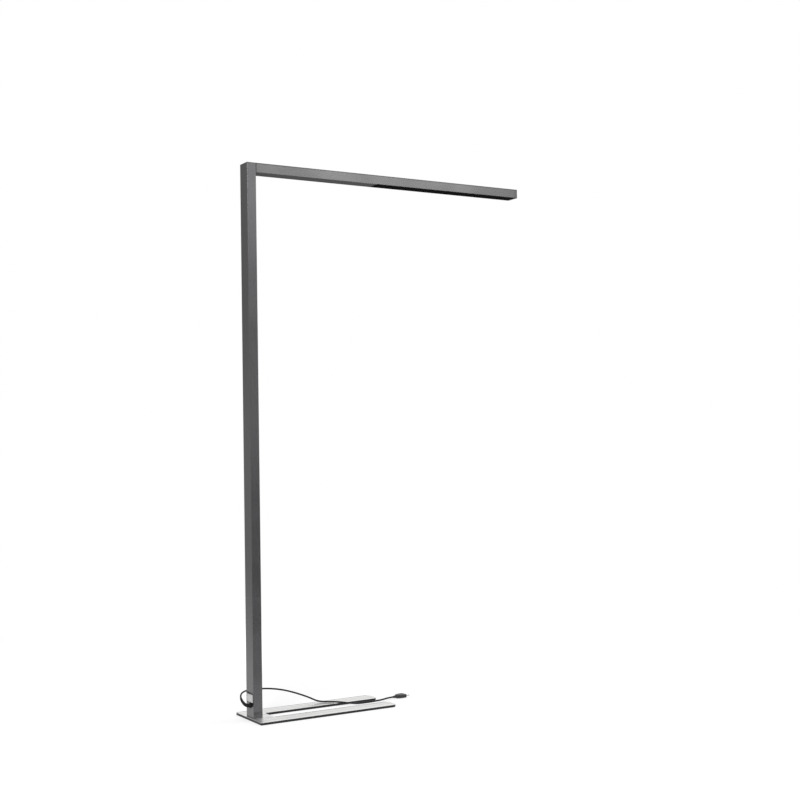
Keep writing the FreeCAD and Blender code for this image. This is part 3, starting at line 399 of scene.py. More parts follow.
@dataclass(frozen=True)
class BrushedPlate(Finish):
    """Brushed stainless steel with dark cut edges and painted shade along the prongs' back edges.

    Attributes:
        colour: the brushed faces' colour.
        edge: the cut edges' colour.
        roughness: the middle of its roughness.
        line: width of the brush lines.
        depth: depth of the brush lines.
        band: width of the slow bands along the brush.
        mark: size of the faint handling marks.
        half_width: half the plate's width.
        half_slot: half the slot's width.
        slot_start: where the slot begins along X.
        edge_shade_width: width of the painted shade strip along the back edge of each prong.
    """

    colour: Colour = (0.80, 0.797, 0.79)
    edge: Colour = (0.04, 0.04, 0.041)
    roughness: float = 0.4
    line: float = 0.4 * MM
    depth: float = 0.008 * MM
    band: float = 12.0 * MM
    mark: float = 60.0 * MM
    half_width: float = 106.0 * MM
    half_slot: float = 38.0 * MM
    slot_start: float = 57.0 * MM
    edge_shade_width: float = 6.5 * MM

    def lay(self, graph: Graph) -> None:
        """Lay long fine lines and slow bands along X on the flat faces, painted shade along the back edges,
        and a dark cut finish on the sides.

        Args:
            graph: the material's graph.
        """
        graph.set(Metallic=1.0, Anisotropic=0.3)
        lines = graph.noise(graph.place((0.012, 1.0, 1.0)), self.line, 4.0)
        bands = graph.noise(graph.place((0.008, 1.0, 1.0)), self.band, 1.0)
        marks = graph.noise(graph.place(), self.mark, 3.0)
        streak = graph.vary(lines, self.colour, 0.93, 1.06)
        banded = graph.blend(graph.between(bands, 0.0, 0.8, 0.48, 0.62), streak, shade(self.colour, 0.72))
        marked = graph.blend(graph.between(marks, 0.0, 0.2, 0.5, 0.8), banded, shade(self.colour, 0.9))
        # painted shade: a dark strip along the back edge of each prong
        face = graph.blend(self.painted_edge_shade(graph), marked, shade(self.edge, 1.1))
        facing = graph.add("ShaderNodeSeparateXYZ")
        graph.link(graph.add("ShaderNodeTexCoord").outputs["Normal"], facing.inputs["Vector"])
        side = graph.maths("LESS_THAN", graph.maths("ABSOLUTE", facing.outputs["Z"]), 0.5)
        graph.colour(graph.blend(side, face, graph.vary(lines, self.edge, 0.7, 1.4)))
        fine = graph.between(lines, self.roughness - 0.06, self.roughness + 0.07)
        graph.roughness(graph.maths("ADD", fine, graph.between(marks, -0.02, 0.05)))
        graph.bump(lines, self.depth)

    def painted_edge_shade(self, graph: Graph) -> Socket:
        """Mask the painted shade strips along the back edges.

        Args:
            graph: the material's graph.

        Returns:
            1 for half the strip's width from the plate's back edge and, past the slot's closed end, from
            the front prong's; 0 beyond the strip.
        """
        depth = graph.coordinate(Axis.Y)
        outer, inner = (
            graph.between(graph.maths("SUBTRACT", edge, depth), 1.0, 0.0, self.edge_shade_width / 2, self.edge_shade_width)
            for edge in (self.half_width, -self.half_slot))
        slotted = graph.maths("GREATER_THAN", graph.coordinate(Axis.X), self.slot_start)
        front = graph.maths("MULTIPLY", slotted, graph.maths("LESS_THAN", depth, 0.0))
        return graph.maths("MAXIMUM", outer, graph.maths("MULTIPLY", inner, front))


@dataclass(frozen=True)
class PlatedSteel(Finish):
    """Zinc or nickel plated steel of fasteners, pins and brackets.

    Attributes:
        colour: the plating's colour.
        roughness: the middle of its roughness.
        tint: the colour of its faint clouds.
    """

    colour: Colour = (0.56, 0.57, 0.58)
    roughness: float = 0.28
    tint: Colour = (0.5, 0.5, 0.44)

    def lay(self, graph: Graph) -> None:
        """Lay clouded plating with fine pits.

        Args:
            graph: the material's graph.
        """
        graph.set(Metallic=1.0)
        clouds = graph.noise(graph.place(), 6 * MM, 3.0)
        pits = graph.noise(graph.place(), 0.35 * MM)
        graph.colour(graph.blend(graph.between(clouds, 0.0, 0.6), self.colour, self.tint))
        graph.roughness(graph.between(pits, self.roughness - 0.06, self.roughness + 0.1))
        graph.bump(pits, 0.006 * MM)


@dataclass(frozen=True)
class MouldedPlastic(Finish):
    """Injection-moulded plastic with a spark-eroded grain.

    Attributes:
        colour: its colour.
        roughness: the middle of its roughness.
        grain: size of its grain.
        depth: depth of its grain.
        gloss: strength of its mirror reflection.
    """

    colour: Colour
    roughness: float = 0.45
    grain: float = 0.6 * MM
    depth: float = 0.01 * MM
    gloss: float = 0.5

    def lay(self, graph: Graph) -> None:
        """Lay cell grain as bump, with handled, slightly glossier patches.

        Args:
            graph: the material's graph.
        """
        graph.set(Specular_IOR_Level=self.gloss)
        cells = graph.add("ShaderNodeTexVoronoi")
        cells.inputs["Scale"].default_value = 1.0 / self.grain
        graph.link(graph.place(), cells.inputs["Vector"])
        patches = graph.noise(graph.place(), 20 * MM)
        graph.colour(graph.vary(patches, self.colour, 0.9, 1.1))
        graph.roughness(graph.between(patches, self.roughness - 0.06, self.roughness + 0.05))
        graph.bump(cells.outputs["Distance"], self.depth)


@dataclass(frozen=True)
class SoftSheath(Finish):
    """Rubbery sheath of the cords and the strain reliefs, and the sheet under the plate.

    Attributes:
        colour: its colour.
        roughness: the middle of its roughness.
        dust: colour of the faint bloom on it.
        gloss: strength of its mirror reflection.
    """

    colour: Colour = (0.004, 0.004, 0.0045)
    roughness: float = 0.34
    dust: Colour = (0.009, 0.009, 0.009)
    gloss: float = 0.2

    def lay(self, graph: Graph) -> None:
        """Lay a dull sheath with drawn waviness and a light bloom.

        Args:
            graph: the material's graph.
        """
        graph.set(Specular_IOR_Level=self.gloss)
        bloom = graph.noise(graph.place(), 10 * MM, 4.0)
        skin = graph.noise(graph.place(), 0.8 * MM)
        graph.colour(graph.blend(graph.between(bloom, 0.0, 0.25, 0.5, 0.8), self.colour, self.dust))
        graph.roughness(graph.between(skin, self.roughness - 0.06, self.roughness + 0.12))
        graph.bump(skin, 0.02 * MM)


@dataclass(frozen=True)
class OpalCover(Finish):
    """Opal light cover.

    Attributes:
        colour: its colour.
    """

    colour: Colour = (0.84, 0.845, 0.84)

    def lay(self, graph: Graph) -> None:
        """Lay milky plastic with a fine matt skin and light under its surface.

        Args:
            graph: the material's graph.
        """
        graph.set(Subsurface_Weight=0.25, Subsurface_Scale=4 * MM)
        skin = graph.noise(graph.place(), 0.4 * MM)
        milk = graph.noise(graph.place((0.2, 1.0, 1.0)), 30 * MM)
        graph.colour(graph.vary(milk, self.colour, 0.97, 1.02))
        graph.roughness(graph.between(skin, 0.42, 0.55))
        graph.bump(skin, 0.01 * MM)


@dataclass(frozen=True)
class FoilPlate(Finish):
    """Bare silver plate with a thin dark outline.

    Attributes:
        middle: centre of the plate across and up.
        half: half its width and half its height.
        border: width of the outline.
        colour: the foil's colour.
        outline: the outline's colour.
    """

    middle: Span
    half: Span
    border: float = 1.6 * MM
    colour: Colour = (0.8, 0.8, 0.79)
    outline: Colour = (0.03, 0.03, 0.03)

    def lay(self, graph: Graph) -> None:
        """Lay satin foil; the outline is where the nearest edge is closer than the border's width.

        Args:
            graph: the material's graph.
        """
        graph.set(Metallic=0.2)
        gaps = []
        for axis, middle, half in zip((Axis.Y, Axis.Z), self.middle, self.half):
            gaps.append(graph.maths("SUBTRACT", half, graph.distance(axis, middle)))
        mask = graph.maths("LESS_THAN", graph.maths("MINIMUM", *gaps), self.border)
        grain = graph.noise(graph.place((1.0, 0.05, 1.0)), 0.4 * MM)
        graph.colour(graph.blend(mask, graph.vary(grain, self.colour, 0.93, 1.05), self.outline))
        graph.roughness(graph.between(grain, 0.3, 0.42))
        graph.bump(grain, 0.004 * MM)


@dataclass(frozen=True)
class SourceBoard(Finish):
    """Circuit board with light sources that stand on its one face.

    Attributes:
        mask: colour of the board's lacquer.
        split: height where the sources begin.
        above: True if the sources stand above that height.
        source: colour of the sources.
    """

    mask: Colour
    split: float
    above: bool
    source: Colour = (0.75, 0.6, 0.12)

    def lay(self, graph: Graph) -> None:
        """Lay lacquer with faint tracks, and the sources' colour past the split height.

        Args:
            graph: the material's graph.
        """
        height = graph.coordinate(Axis.Z)
        order = (height, self.split) if self.above else (self.split, height)
        chips = graph.maths("GREATER_THAN", *order)
        tracks = graph.add("ShaderNodeTexBrick")
        tracks.inputs["Scale"].default_value = 60.0
        tracks.inputs["Mortar Size"].default_value = 0.012
        graph.link(graph.place(), tracks.inputs["Vector"])
        board = graph.blend(tracks.outputs["Fac"], self.mask, shade(self.mask, 0.82))
        graph.colour(graph.blend(chips, board, self.source))
        speck = graph.noise(graph.place(), 1 * MM)
        graph.roughness(graph.between(speck, 0.28, 0.4))
        graph.bump(tracks.outputs["Fac"], 0.03 * MM)


# ------------ surfaces

def mesh_from_grid(name: str, points: np.ndarray, closed: bool = True) -> bpy.types.Object:
    """Turn a grid of points into a smooth mesh.

    Args:
        name: the piece's name.
        points: array of rows by columns by 3; a row is one ring or line.
        closed: True if each row's last point joins its first; one face closes the first and the last row.

    Returns:
        The object, at the origin, linked to the scene.
    """
    rows, columns = points.shape[:2]
    index = np.arange(rows * columns).reshape(rows, columns)
    following = np.roll(index, -1, axis=1) if closed else index[:, 1:]
    current = index if closed else index[:, :-1]
    quads = np.stack([current[:-1], following[:-1], following[1:], current[1:]], axis=-1).reshape(-1, 4)
    faces = quads.tolist()
    if closed:
        faces += [index[0, ::-1].tolist(), index[-1].tolist()]
    mesh = bpy.data.meshes.new(name)
    mesh.from_pydata(points.reshape(-1, 3).tolist(), [], faces)
    mesh.update()
    mesh.shade_smooth()
    piece = bpy.data.objects.new(name, mesh)
    bpy.context.scene.collection.objects.link(piece)
    return piece


def frames_along(path: np.ndarray) -> tuple[np.ndarray, np.ndarray]:
    """Two unit vectors across a path at each of its points.

    The tangent is the difference of neighbouring points; the first across vector is the tangent
    crossed with one fixed direction, which no part of the path follows, and the second completes them.

    Args:
        path: array of points by 3.

    Returns:
        The two arrays of across vectors.
    """
    aside = np.array([0.0, -0.8, 0.6])
    tangent = np.gradient(path, axis=0)
    tangent /= np.linalg.norm(tangent, axis=1, keepdims=True)
    first = np.cross(tangent, aside)
    first /= np.linalg.norm(first, axis=1, keepdims=True)
    return first, np.cross(tangent, first)


def distances_along(path: np.ndarray) -> np.ndarray:
    """Distance travelled along a path at each of its points: the running sum of its steps' lengths."""
    return np.concatenate([[0.0], np.cumsum(np.linalg.norm(np.diff(path, axis=0), axis=1))])


def grooves(run: np.ndarray, sizes: Span, power: int = 1) -> np.ndarray:
    """Depth of grooves along a run, from their pitch and depth: a power of the sine where positive."""
    return sizes[1] * np.clip(np.sin(run / sizes[0] * math.tau), 0.0, 1.0) ** power


def tube_along(name: str, path: np.ndarray, radii: np.ndarray, around: int = 36) -> bpy.types.Object:
    """Round surface along a path.

    Each ring is the path's point plus its radius times cosine and sine of the turn on the two across
    vectors.

    Args:
        name: the piece's name.
        path: array of points by 3.
        radii: radius at each point.
        around: points on a ring.

    Returns:
        The object.
    """
    first, second = frames_along(path)
    turn = np.linspace(0.0, math.tau, around, endpoint=False)
    ring = first[:, None, :] * np.cos(turn)[None, :, None] + second[:, None, :] * np.sin(turn)[None, :, None]
    return mesh_from_grid(name, path[:, None, :] + radii[:, None, None] * ring)


def dress(piece: bpy.types.Object, material: bpy.types.Material) -> None:
    """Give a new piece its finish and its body.

    Args:
        piece: the piece.
        material: its material.
    """
    piece.data.materials.clear()
    piece.data.materials.append(material)
    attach(piece, BODY)
    log.info("piece %s rides on %s", piece.name, BODY)


def finish_nodes(frame: dict, finishes: dict[str, Finish]) -> None:
    """Give carried-over nodes their finishes. A finish that nodes share is built once.

    Args:
        finishes: each node's finish, by the node's name.
    """
    materials = {finish: finish.build() for finish in dict.fromkeys(finishes.values())}
    for name, finish in finishes.items():
        piece, material = frame["nodes"][name], materials[finish]
        if not piece.material_slots:
            piece.data.materials.append(material)
        for slot in piece.material_slots:
            slot.material = material
        log.info("node %s finished with %s", name, material.name)


# ------------ camera

@dataclass
class PhotoCamera:
    """Camera at the photograph's place.

    Attributes:
        position: metres.
        yaw: degrees from +Y towards +X.
        pitch: degrees above the horizon.
        roll: degrees about the view's axis.
        lens: focal length in millimetres.
        sensor: the sensor's width in millimetres.
    """

    position: Place = (-1.89046, -4.18250, 0.97524)
    yaw: float = 30.8824
    pitch: float = 1.6519
    roll: float = -0.8953
    lens: float = 58.416
    sensor: float = 36.0

    def build(self) -> None:
        """Make the camera and make it the scene's."""
        yaw, pitch, roll = (math.radians(angle) for angle in (self.yaw, self.pitch, self.roll))
        ahead = Vector((math.sin(yaw) * math.cos(pitch), math.cos(yaw) * math.cos(pitch), math.sin(pitch)))
        level = Vector((math.cos(yaw), -math.sin(yaw), 0.0))
        upright = level.cross(ahead)
        right = math.cos(roll) * level + math.sin(roll) * upright
        up = math.cos(roll) * upright - math.sin(roll) * level
        data = bpy.data.cameras.new("photo_camera")
        data.lens = self.lens
        data.sensor_width = self.sensor
        camera = bpy.data.objects.new("photo_camera", data)
        turned = Matrix((right, up, -ahead)).transposed().to_4x4()
        camera.matrix_world = Matrix.Translation(self.position) @ turned
        bpy.context.scene.collection.objects.link(camera)
        bpy.context.scene.camera = camera


# ------------ cord

@dataclass
class MainsCord:
    """Cord from the gland round behind the column to a flat plug on the floor.

    Attributes:
        diameter: the sheath's diameter.
        length: the cord's real length; not used.
        route: control points from the strain relief to the plug, as the model's source has them.
        relief_root: strain relief's radius at the gland.
        relief_tip: strain relief's radius at its tip.
        relief_taper: power of the distance's share by which its radius falls.
        relief_reach: how far the relief runs along the cord.
        ribs: pitch and depth of the grooves between its ribs.
        ribbed: shares of its length between which it has ribs.
        gland_face: where the relief leaves the gland.
    """

    diameter: float = 6.0 * MM
    length: float = 0.702
    route: tuple[Place, ...] = (
        (-0.0370, 0.0030, 0.0570), (-0.0422, 0.0109, 0.0648), (-0.0420, 0.0230, 0.0760),
        (-0.0350, 0.0375, 0.0840), (-0.0220, 0.0505, 0.0888), (0.0000, 0.0615, 0.0912),
        (0.0380, 0.0690, 0.0906), (0.0840, 0.0720, 0.0868), (0.1320, 0.0750, 0.0780),
        (0.1760, 0.0780, 0.0650), (0.2170, 0.0815, 0.0495), (0.2560, 0.0850, 0.0330),
        (0.2900, 0.0860, 0.0150), (0.3190, 0.0680, 0.0126), (0.3445, 0.0420, 0.0140),
        (0.3770, 0.0225, 0.0095), (0.4160, 0.0130, 0.0036), (0.4580, 0.0135, 0.0031),
        (0.4980, 0.0176, 0.0031), (0.5280, 0.0210, 0.0040), (0.5530, 0.0238, 0.00685),
        (0.5760, 0.0263, 0.00685),
    )
    relief_root: float = 6.4 * MM
    relief_tip: float = 3.8 * MM
    relief_taper: float = 1.2
    relief_reach: float = 26.0 * MM
    ribs: Span = (2.6 * MM, 0.35 * MM)
    ribbed: Span = (0.12, 0.9)
    gland_face: Place = (-0.0230, -0.0030, 0.0510)

    def sheath(self, finish: bpy.types.Material) -> bpy.types.Object:
        """Build the cord as one smooth spline on its control points.

        Args:
            finish: the sheath's material.

        Returns:
            The cord.
        """
        curve = bpy.data.curves.new("mains_cord", "CURVE")
        curve.dimensions = "3D"
        curve.bevel_depth = self.diameter / 2
        curve.bevel_resolution = 6
        curve.use_fill_caps = True
        curve.resolution_u = 16
        spline = curve.splines.new("NURBS")
        spline.points.add(len(self.route) - 1)
        for point, place in zip(spline.points, self.route):
            point.co = (*place, 1.0)
        spline.order_u = 3
        spline.use_endpoint_u = True
        cord = bpy.data.objects.new("mains_cord", curve)
        bpy.context.scene.collection.objects.link(cord)
        dress(cord, finish)
        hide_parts("power_cord")
        return cord

    def centreline(self, cord: bpy.types.Object) -> np.ndarray:
        """Read the points of the cord's own spline.

        Args:
            cord: the built cord.

        Returns:
            Points along its centreline, in order.
        """
        bare = cord.data.copy()
        bare.bevel_depth = 0.0
        carrier = bpy.data.objects.new("bare_line", bare)
        mesh = bpy.data.meshes.new_from_object(carrier)
        points = np.empty(len(mesh.vertices) * 3)
        mesh.vertices.foreach_get("co", points)
        bpy.data.objects.remove(carrier)
        bpy.data.curves.remove(bare)
        bpy.data.meshes.remove(mesh)
        return points.reshape(-1, 3)

    def relief(self, cord: bpy.types.Object, finish: bpy.types.Material) -> bpy.types.Object:
        """Build the tapered strain relief from the gland on to the cord.

        Its path is an arc that leaves the gland's face along -X and ends where the cord's own line
        starts, then that line. Its radius falls with a power of the distance's share, less the shallow
        grooves between its ribs.

        Args:
            cord: the built cord.
            finish: the relief's material.

        Returns:
            The relief.
        """
        steps = 40
        start = np.array(self.gland_face)
        line = self.centreline(cord)
        chord = line[0] - start
        rise = chord * np.array([0.0, 1.0, 1.0])
        height = np.linalg.norm(rise)
        radius = chord @ chord / (2 * height)
        turn = np.linspace(0.0, 2 * math.atan2(height, -chord[0]), steps)[:, None]
        out = np.array([-1.0, 0.0, 0.0])
        arc = start + radius * np.sin(turn) * out + radius * (1 - np.cos(turn)) * rise / height
        stations = np.linspace(0.0, self.relief_reach, steps)[1:]
        travelled = distances_along(line)
        onward = np.stack([np.interp(stations, travelled, line[:, axis]) for axis in range(3)], axis=1)
        path = np.concatenate([arc, onward])
        run = distances_along(path)
        share = run / run[-1]
        radii = self.relief_root + (self.relief_tip - self.relief_root) * share ** self.relief_taper
        cuts = grooves(run, self.ribs, 2) * (share > self.ribbed[0]) * (share < self.ribbed[1])
        piece = tube_along("strain_relief", path, radii - cuts)
        dress(piece, finish)
        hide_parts("cord_boot")
        return piece


@dataclass
class FlatPlug:
    """Small flat two-pin plug on the cord's end.

    Attributes:
        start: where the cord enters it.
        turn: its heading from +X in radians.
        nose: length of its own strain relief.
        nose_radii: radius of that relief at the cord and at the body.
        length: length of the moulded body.
        width: its widest.
        height: its thickness.
        shoulder: length of the flare from the nose to the full width.
        step: share of the flare that is a step at the nose.
        rings: pitch and depth of the grooves between the nose's rings.
        plain: length of the nose that has no rings, beside the body.
        ridges: pitch and depth of the grooves between the finger ridges.
        ridged: shares of the flare between which it has ridges.
        rounding: length over which the front is rounded, and how far that comes in.
    """

    start: Place
    turn: float
    nose: float = 12.0 * MM
    nose_radii: Span = (3.7 * MM, 5.0 * MM)
    length: float = 40.0 * MM
    width: float = 35.3 * MM
    height: float = 13.7 * MM
    shoulder: float = 16.0 * MM
    step: float = 0.24
    rings: Span = (2.4 * MM, 0.4 * MM)
    plain: float = 1.0 * MM
    ridges: Span = (4.5 * MM, 0.35 * MM)
    ridged: Span = (0.3, 0.98)
    rounding: Span = (3.0 * MM, 2.2 * MM)

    def to_row(self, points: np.ndarray) -> np.ndarray:
        """Turn and move points from the plug's own axes to the row frame.

        Args:
            points: array whose last axis is along, across and up.

        Returns:
            The same array in the row frame.
        """
        cosine, sine = math.cos(self.turn), math.sin(self.turn)
        spin = np.array([[cosine, sine, 0.0], [-sine, cosine, 0.0], [0.0, 0.0, 1.0]])
        return points @ spin + np.array(self.start)

    def shell(self, finish: bpy.types.Material) -> bpy.types.Object:
        """Build the moulded body with its strain relief.

        Each ring is a superellipse across the axis. Half-width and half-height follow profiles along the
        axis: a slim ringed nose, a flare over the shoulder by a smooth step, with finger ridges on it, and
        a straight body with a rounded front. The power is 2, a circle's, on the nose and rises to 4.4.

        Args:
            finish: the moulding's material.

        Returns:
            The body.
        """
        front = self.nose + self.length
        reach, inward = self.rounding
        bend = np.sin(np.linspace(0.05, 1.0, 12) * math.pi / 2)
        along = np.concatenate([
            np.linspace(0.0, self.nose, 36),
            np.linspace(self.nose + 0.2 * MM, front - reach, 60),
            front - reach * (1 - bend),
        ])
        nose = np.clip(along / self.nose, 0.0, 1.0)
        flare = np.clip((along - self.nose) / self.shoulder, 0.0, 1.0)
        smooth = flare * flare * (3 - 2 * flare)
        slim = self.nose_radii[0] + (self.nose_radii[1] - self.nose_radii[0]) * nose
        half_wide = slim + (self.width / 2 - slim) * (self.step * (flare > 0) + (1 - self.step) * smooth)
        half_high = slim + (self.height / 2 - slim) * np.clip(flare * 5, 0.0, 1.0)
        rings = grooves(along, self.rings, 2) * (along < self.nose - self.plain)
        ridges = grooves(along - self.nose, self.ridges) * (flare > self.ridged[0]) * (flare < self.ridged[1])
        closing = np.clip((front - along) / reach, 0.0, 1.0)
        round_off = inward * (1 - np.sqrt(np.clip(1 - (1 - closing) ** 2, 0.0, 1.0)))
        half_wide = half_wide - rings - ridges - round_off
        half_high = half_high - rings - round_off
        power = 2.0 + 2.4 * np.clip(flare * 3, 0.0, 1.0)
        around = 72
        turn = np.linspace(0.0, math.tau, around, endpoint=False)[None, :]
        cosine, sine = np.cos(turn), np.sin(turn)
        across = half_wide[:, None] * np.sign(cosine) * np.abs(cosine) ** (2 / power[:, None])
        up = half_high[:, None] * np.sign(sine) * np.abs(sine) ** (2 / power[:, None])
        grid = np.stack([np.broadcast_to(along[:, None], across.shape), across, up], axis=-1)
        piece = mesh_from_grid("plug_moulding", self.to_row(grid))
        dress(piece, finish)
        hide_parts("plug_body")
        return piece


# ------------ sub-assemblies of carried-over nodes

@dataclass
class ForkBase:
    """Fork-shaped steel plate on its rubber sheet.

    Attributes:
        steel: the plate's finish.
        rubber: the sheet's finish.
    """

    steel: BrushedPlate = BrushedPlate("stainless_plate")
    rubber: SoftSheath = SoftSheath("underlay_black", (0.02, 0.02, 0.02), 0.7)

    def finishes(self) -> dict[str, Finish]:
        """Finishes of the plate, the sheet and the screws under the column, by the node's name."""
        return {
            "base_plate": self.steel,
            "rubber_underlay": self.rubber,
            "base_screws": PlatedSteel("plated_base_screws"),
        }


@dataclass
class Column:
    """Column extrusion, its cap and what is on and in it.

    Attributes:
        coat: the extrusion's finish.
    """

    coat: AnthraciteCoat = AnthraciteCoat("anthracite_column")

    def finishes(self) -> dict[str, Finish]:
        """List the finishes of the column's nodes.

        Returns:
            Each node's finish, by the node's name.
        """
        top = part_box("column_top_cap")[1][2]
        low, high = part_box("rating_plate")
        middle = ((low[1] + high[1]) / 2, (low[2] + high[2]) / 2)
        half = ((high[1] - low[1]) / 2, (high[2] - low[2]) / 2)
        grey = MouldedPlastic("terminal_nylon", (0.42, 0.43, 0.44), 0.5)
        return {
            # painted shade darkens the column's coat beside its upper arris
            "column_profile": replace(self.coat, top=top),
            "column_top_cap": AnthraciteCoat("anthracite_column_cap", along=Axis.Y),
            "rating_plate": FoilPlate("rating_foil", middle, half),
            "arm_clamp_plate": PlatedSteel("plated_clamp"),
            "arm_bolts": PlatedSteel("plated_bolts", (0.5, 0.51, 0.53), 0.32),
            "terminal_block": grey,
            "switch_carrier": grey,
            "internal_lead": SoftSheath("lead_white", (0.7, 0.7, 0.68), 0.5, (0.6, 0.6, 0.58)),
            "mains_tail": SoftSheath("tail_black"),
            "cord_gland": MouldedPlastic("gland_nylon", (0.004, 0.004, 0.004), 0.4, gloss=0.22),
            "gland_locknut": MouldedPlastic("locknut_nylon", (0.02, 0.02, 0.021), 0.38),
        }


@dataclass
class PushButton:
    """Dimmer button, its bezel and its switch."""

    def finishes(self) -> dict[str, Finish]:
        """Finishes of the button's nodes, by the node's name."""
        return {
            "button_bezel": PlatedSteel("black_bezel", (0.03, 0.03, 0.03), 0.35, (0.04, 0.04, 0.04)),
            "dimmer_button": MouldedPlastic("button_black", (0.02, 0.02, 0.021), 0.34),
            "switch_plunger": MouldedPlastic("plunger_black", (0.02, 0.02, 0.02), 0.4),
            "switch_board": MouldedPlastic("switch_lacquer", (0.02, 0.12, 0.05), 0.3),
        }


@dataclass
class Arm:
    """Arm extrusion, its connector, covers, optics and driver.

    Attributes:
        coat: the extrusion's finish, a lighter copy of the anthracite as painted light.
        cover: finish of the two metal covers.
        steel: finish of the connector and the screws.
    """

    # painted light: the arm's coat is a lighter copy of the column's anthracite, for the brighter light on
    # the arm
    coat: AnthraciteCoat = AnthraciteCoat("anthracite_arm_painted_light", (0.153, 0.152, 0.153), along=Axis.X)
    cover: AnthraciteCoat = AnthraciteCoat("anthracite_cover", along=Axis.X)
    steel: PlatedSteel = PlatedSteel("plated_connector")

    def finishes(self) -> dict[str, Finish]:
        """List the finishes of the arm's nodes.

        Returns:
            Each node's finish, by the node's name.
        """
        low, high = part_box("arm_profile")
        rim = (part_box("direct_louvre")[0][0], low[2])
        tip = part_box("arm_end_cap")[1][0]
        lacquer, source_height = (0.8, 0.8, 0.78), 0.5 * MM
        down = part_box("direct_led_board")[0][2] + source_height
        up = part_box("indirect_led_board")[1][2] - source_height
        louvre = MouldedPlastic("louvre_black", (0.0025, 0.0025, 0.0025), 0.6, 0.5 * MM, gloss=0.06)
        return {
            # painted shade beside the arm's upper arris, its cut ends and the opening's rim
            "arm_profile": replace(self.coat, top=high[2], joints=(low[0], high[0]), rim=rim),
            # painted shade beside the end cap's upper arris and outer face
            "arm_end_cap": AnthraciteCoat("anthracite_end_cap", along=Axis.Y, top=high[2], joints=(tip,)),
            "arm_lower_cover": self.cover,
            "arm_upper_cover": self.cover,
            "joint_shim": MouldedPlastic("shim_black", (0.01, 0.01, 0.01), 0.6),
            **dict.fromkeys(("arm_connector", "web_screws", "end_cap_screws", "driver_screws"), self.steel),
            "direct_louvre": louvre,
            "indirect_diffuser": OpalCover("opal_cover"),
            "direct_led_board": SourceBoard("direct_board", lacquer, down, False),
            "indirect_led_board": SourceBoard("indirect_board", lacquer, up, True),
            "led_driver": MouldedPlastic("driver_enamel", (0.75, 0.75, 0.74), 0.4),
        }


# ------------ studio

@dataclass
class SoftLamp:
    """Large area lamp.

    Attributes:
        name: the lamp's name.
        place: its position.
        aim: the point that it faces.
        size: side of the square in metres.
        power: watts.
    """

    name: str
    place: Place
    aim: Place
    size: float
    power: float

    def build(self) -> None:
        """Make the lamp and turn it to the point that it faces."""
        data = bpy.data.lights.new(self.name, "AREA")
        data.energy = self.power
        data.size = self.size
        lamp = bpy.data.objects.new(self.name, data)
        direction = Vector(self.aim) - Vector(self.place)
        turned = direction.to_track_quat("-Z", "Y").to_matrix().to_4x4()
        lamp.matrix_world = Matrix.Translation(self.place) @ turned
        bpy.context.scene.collection.objects.link(lamp)


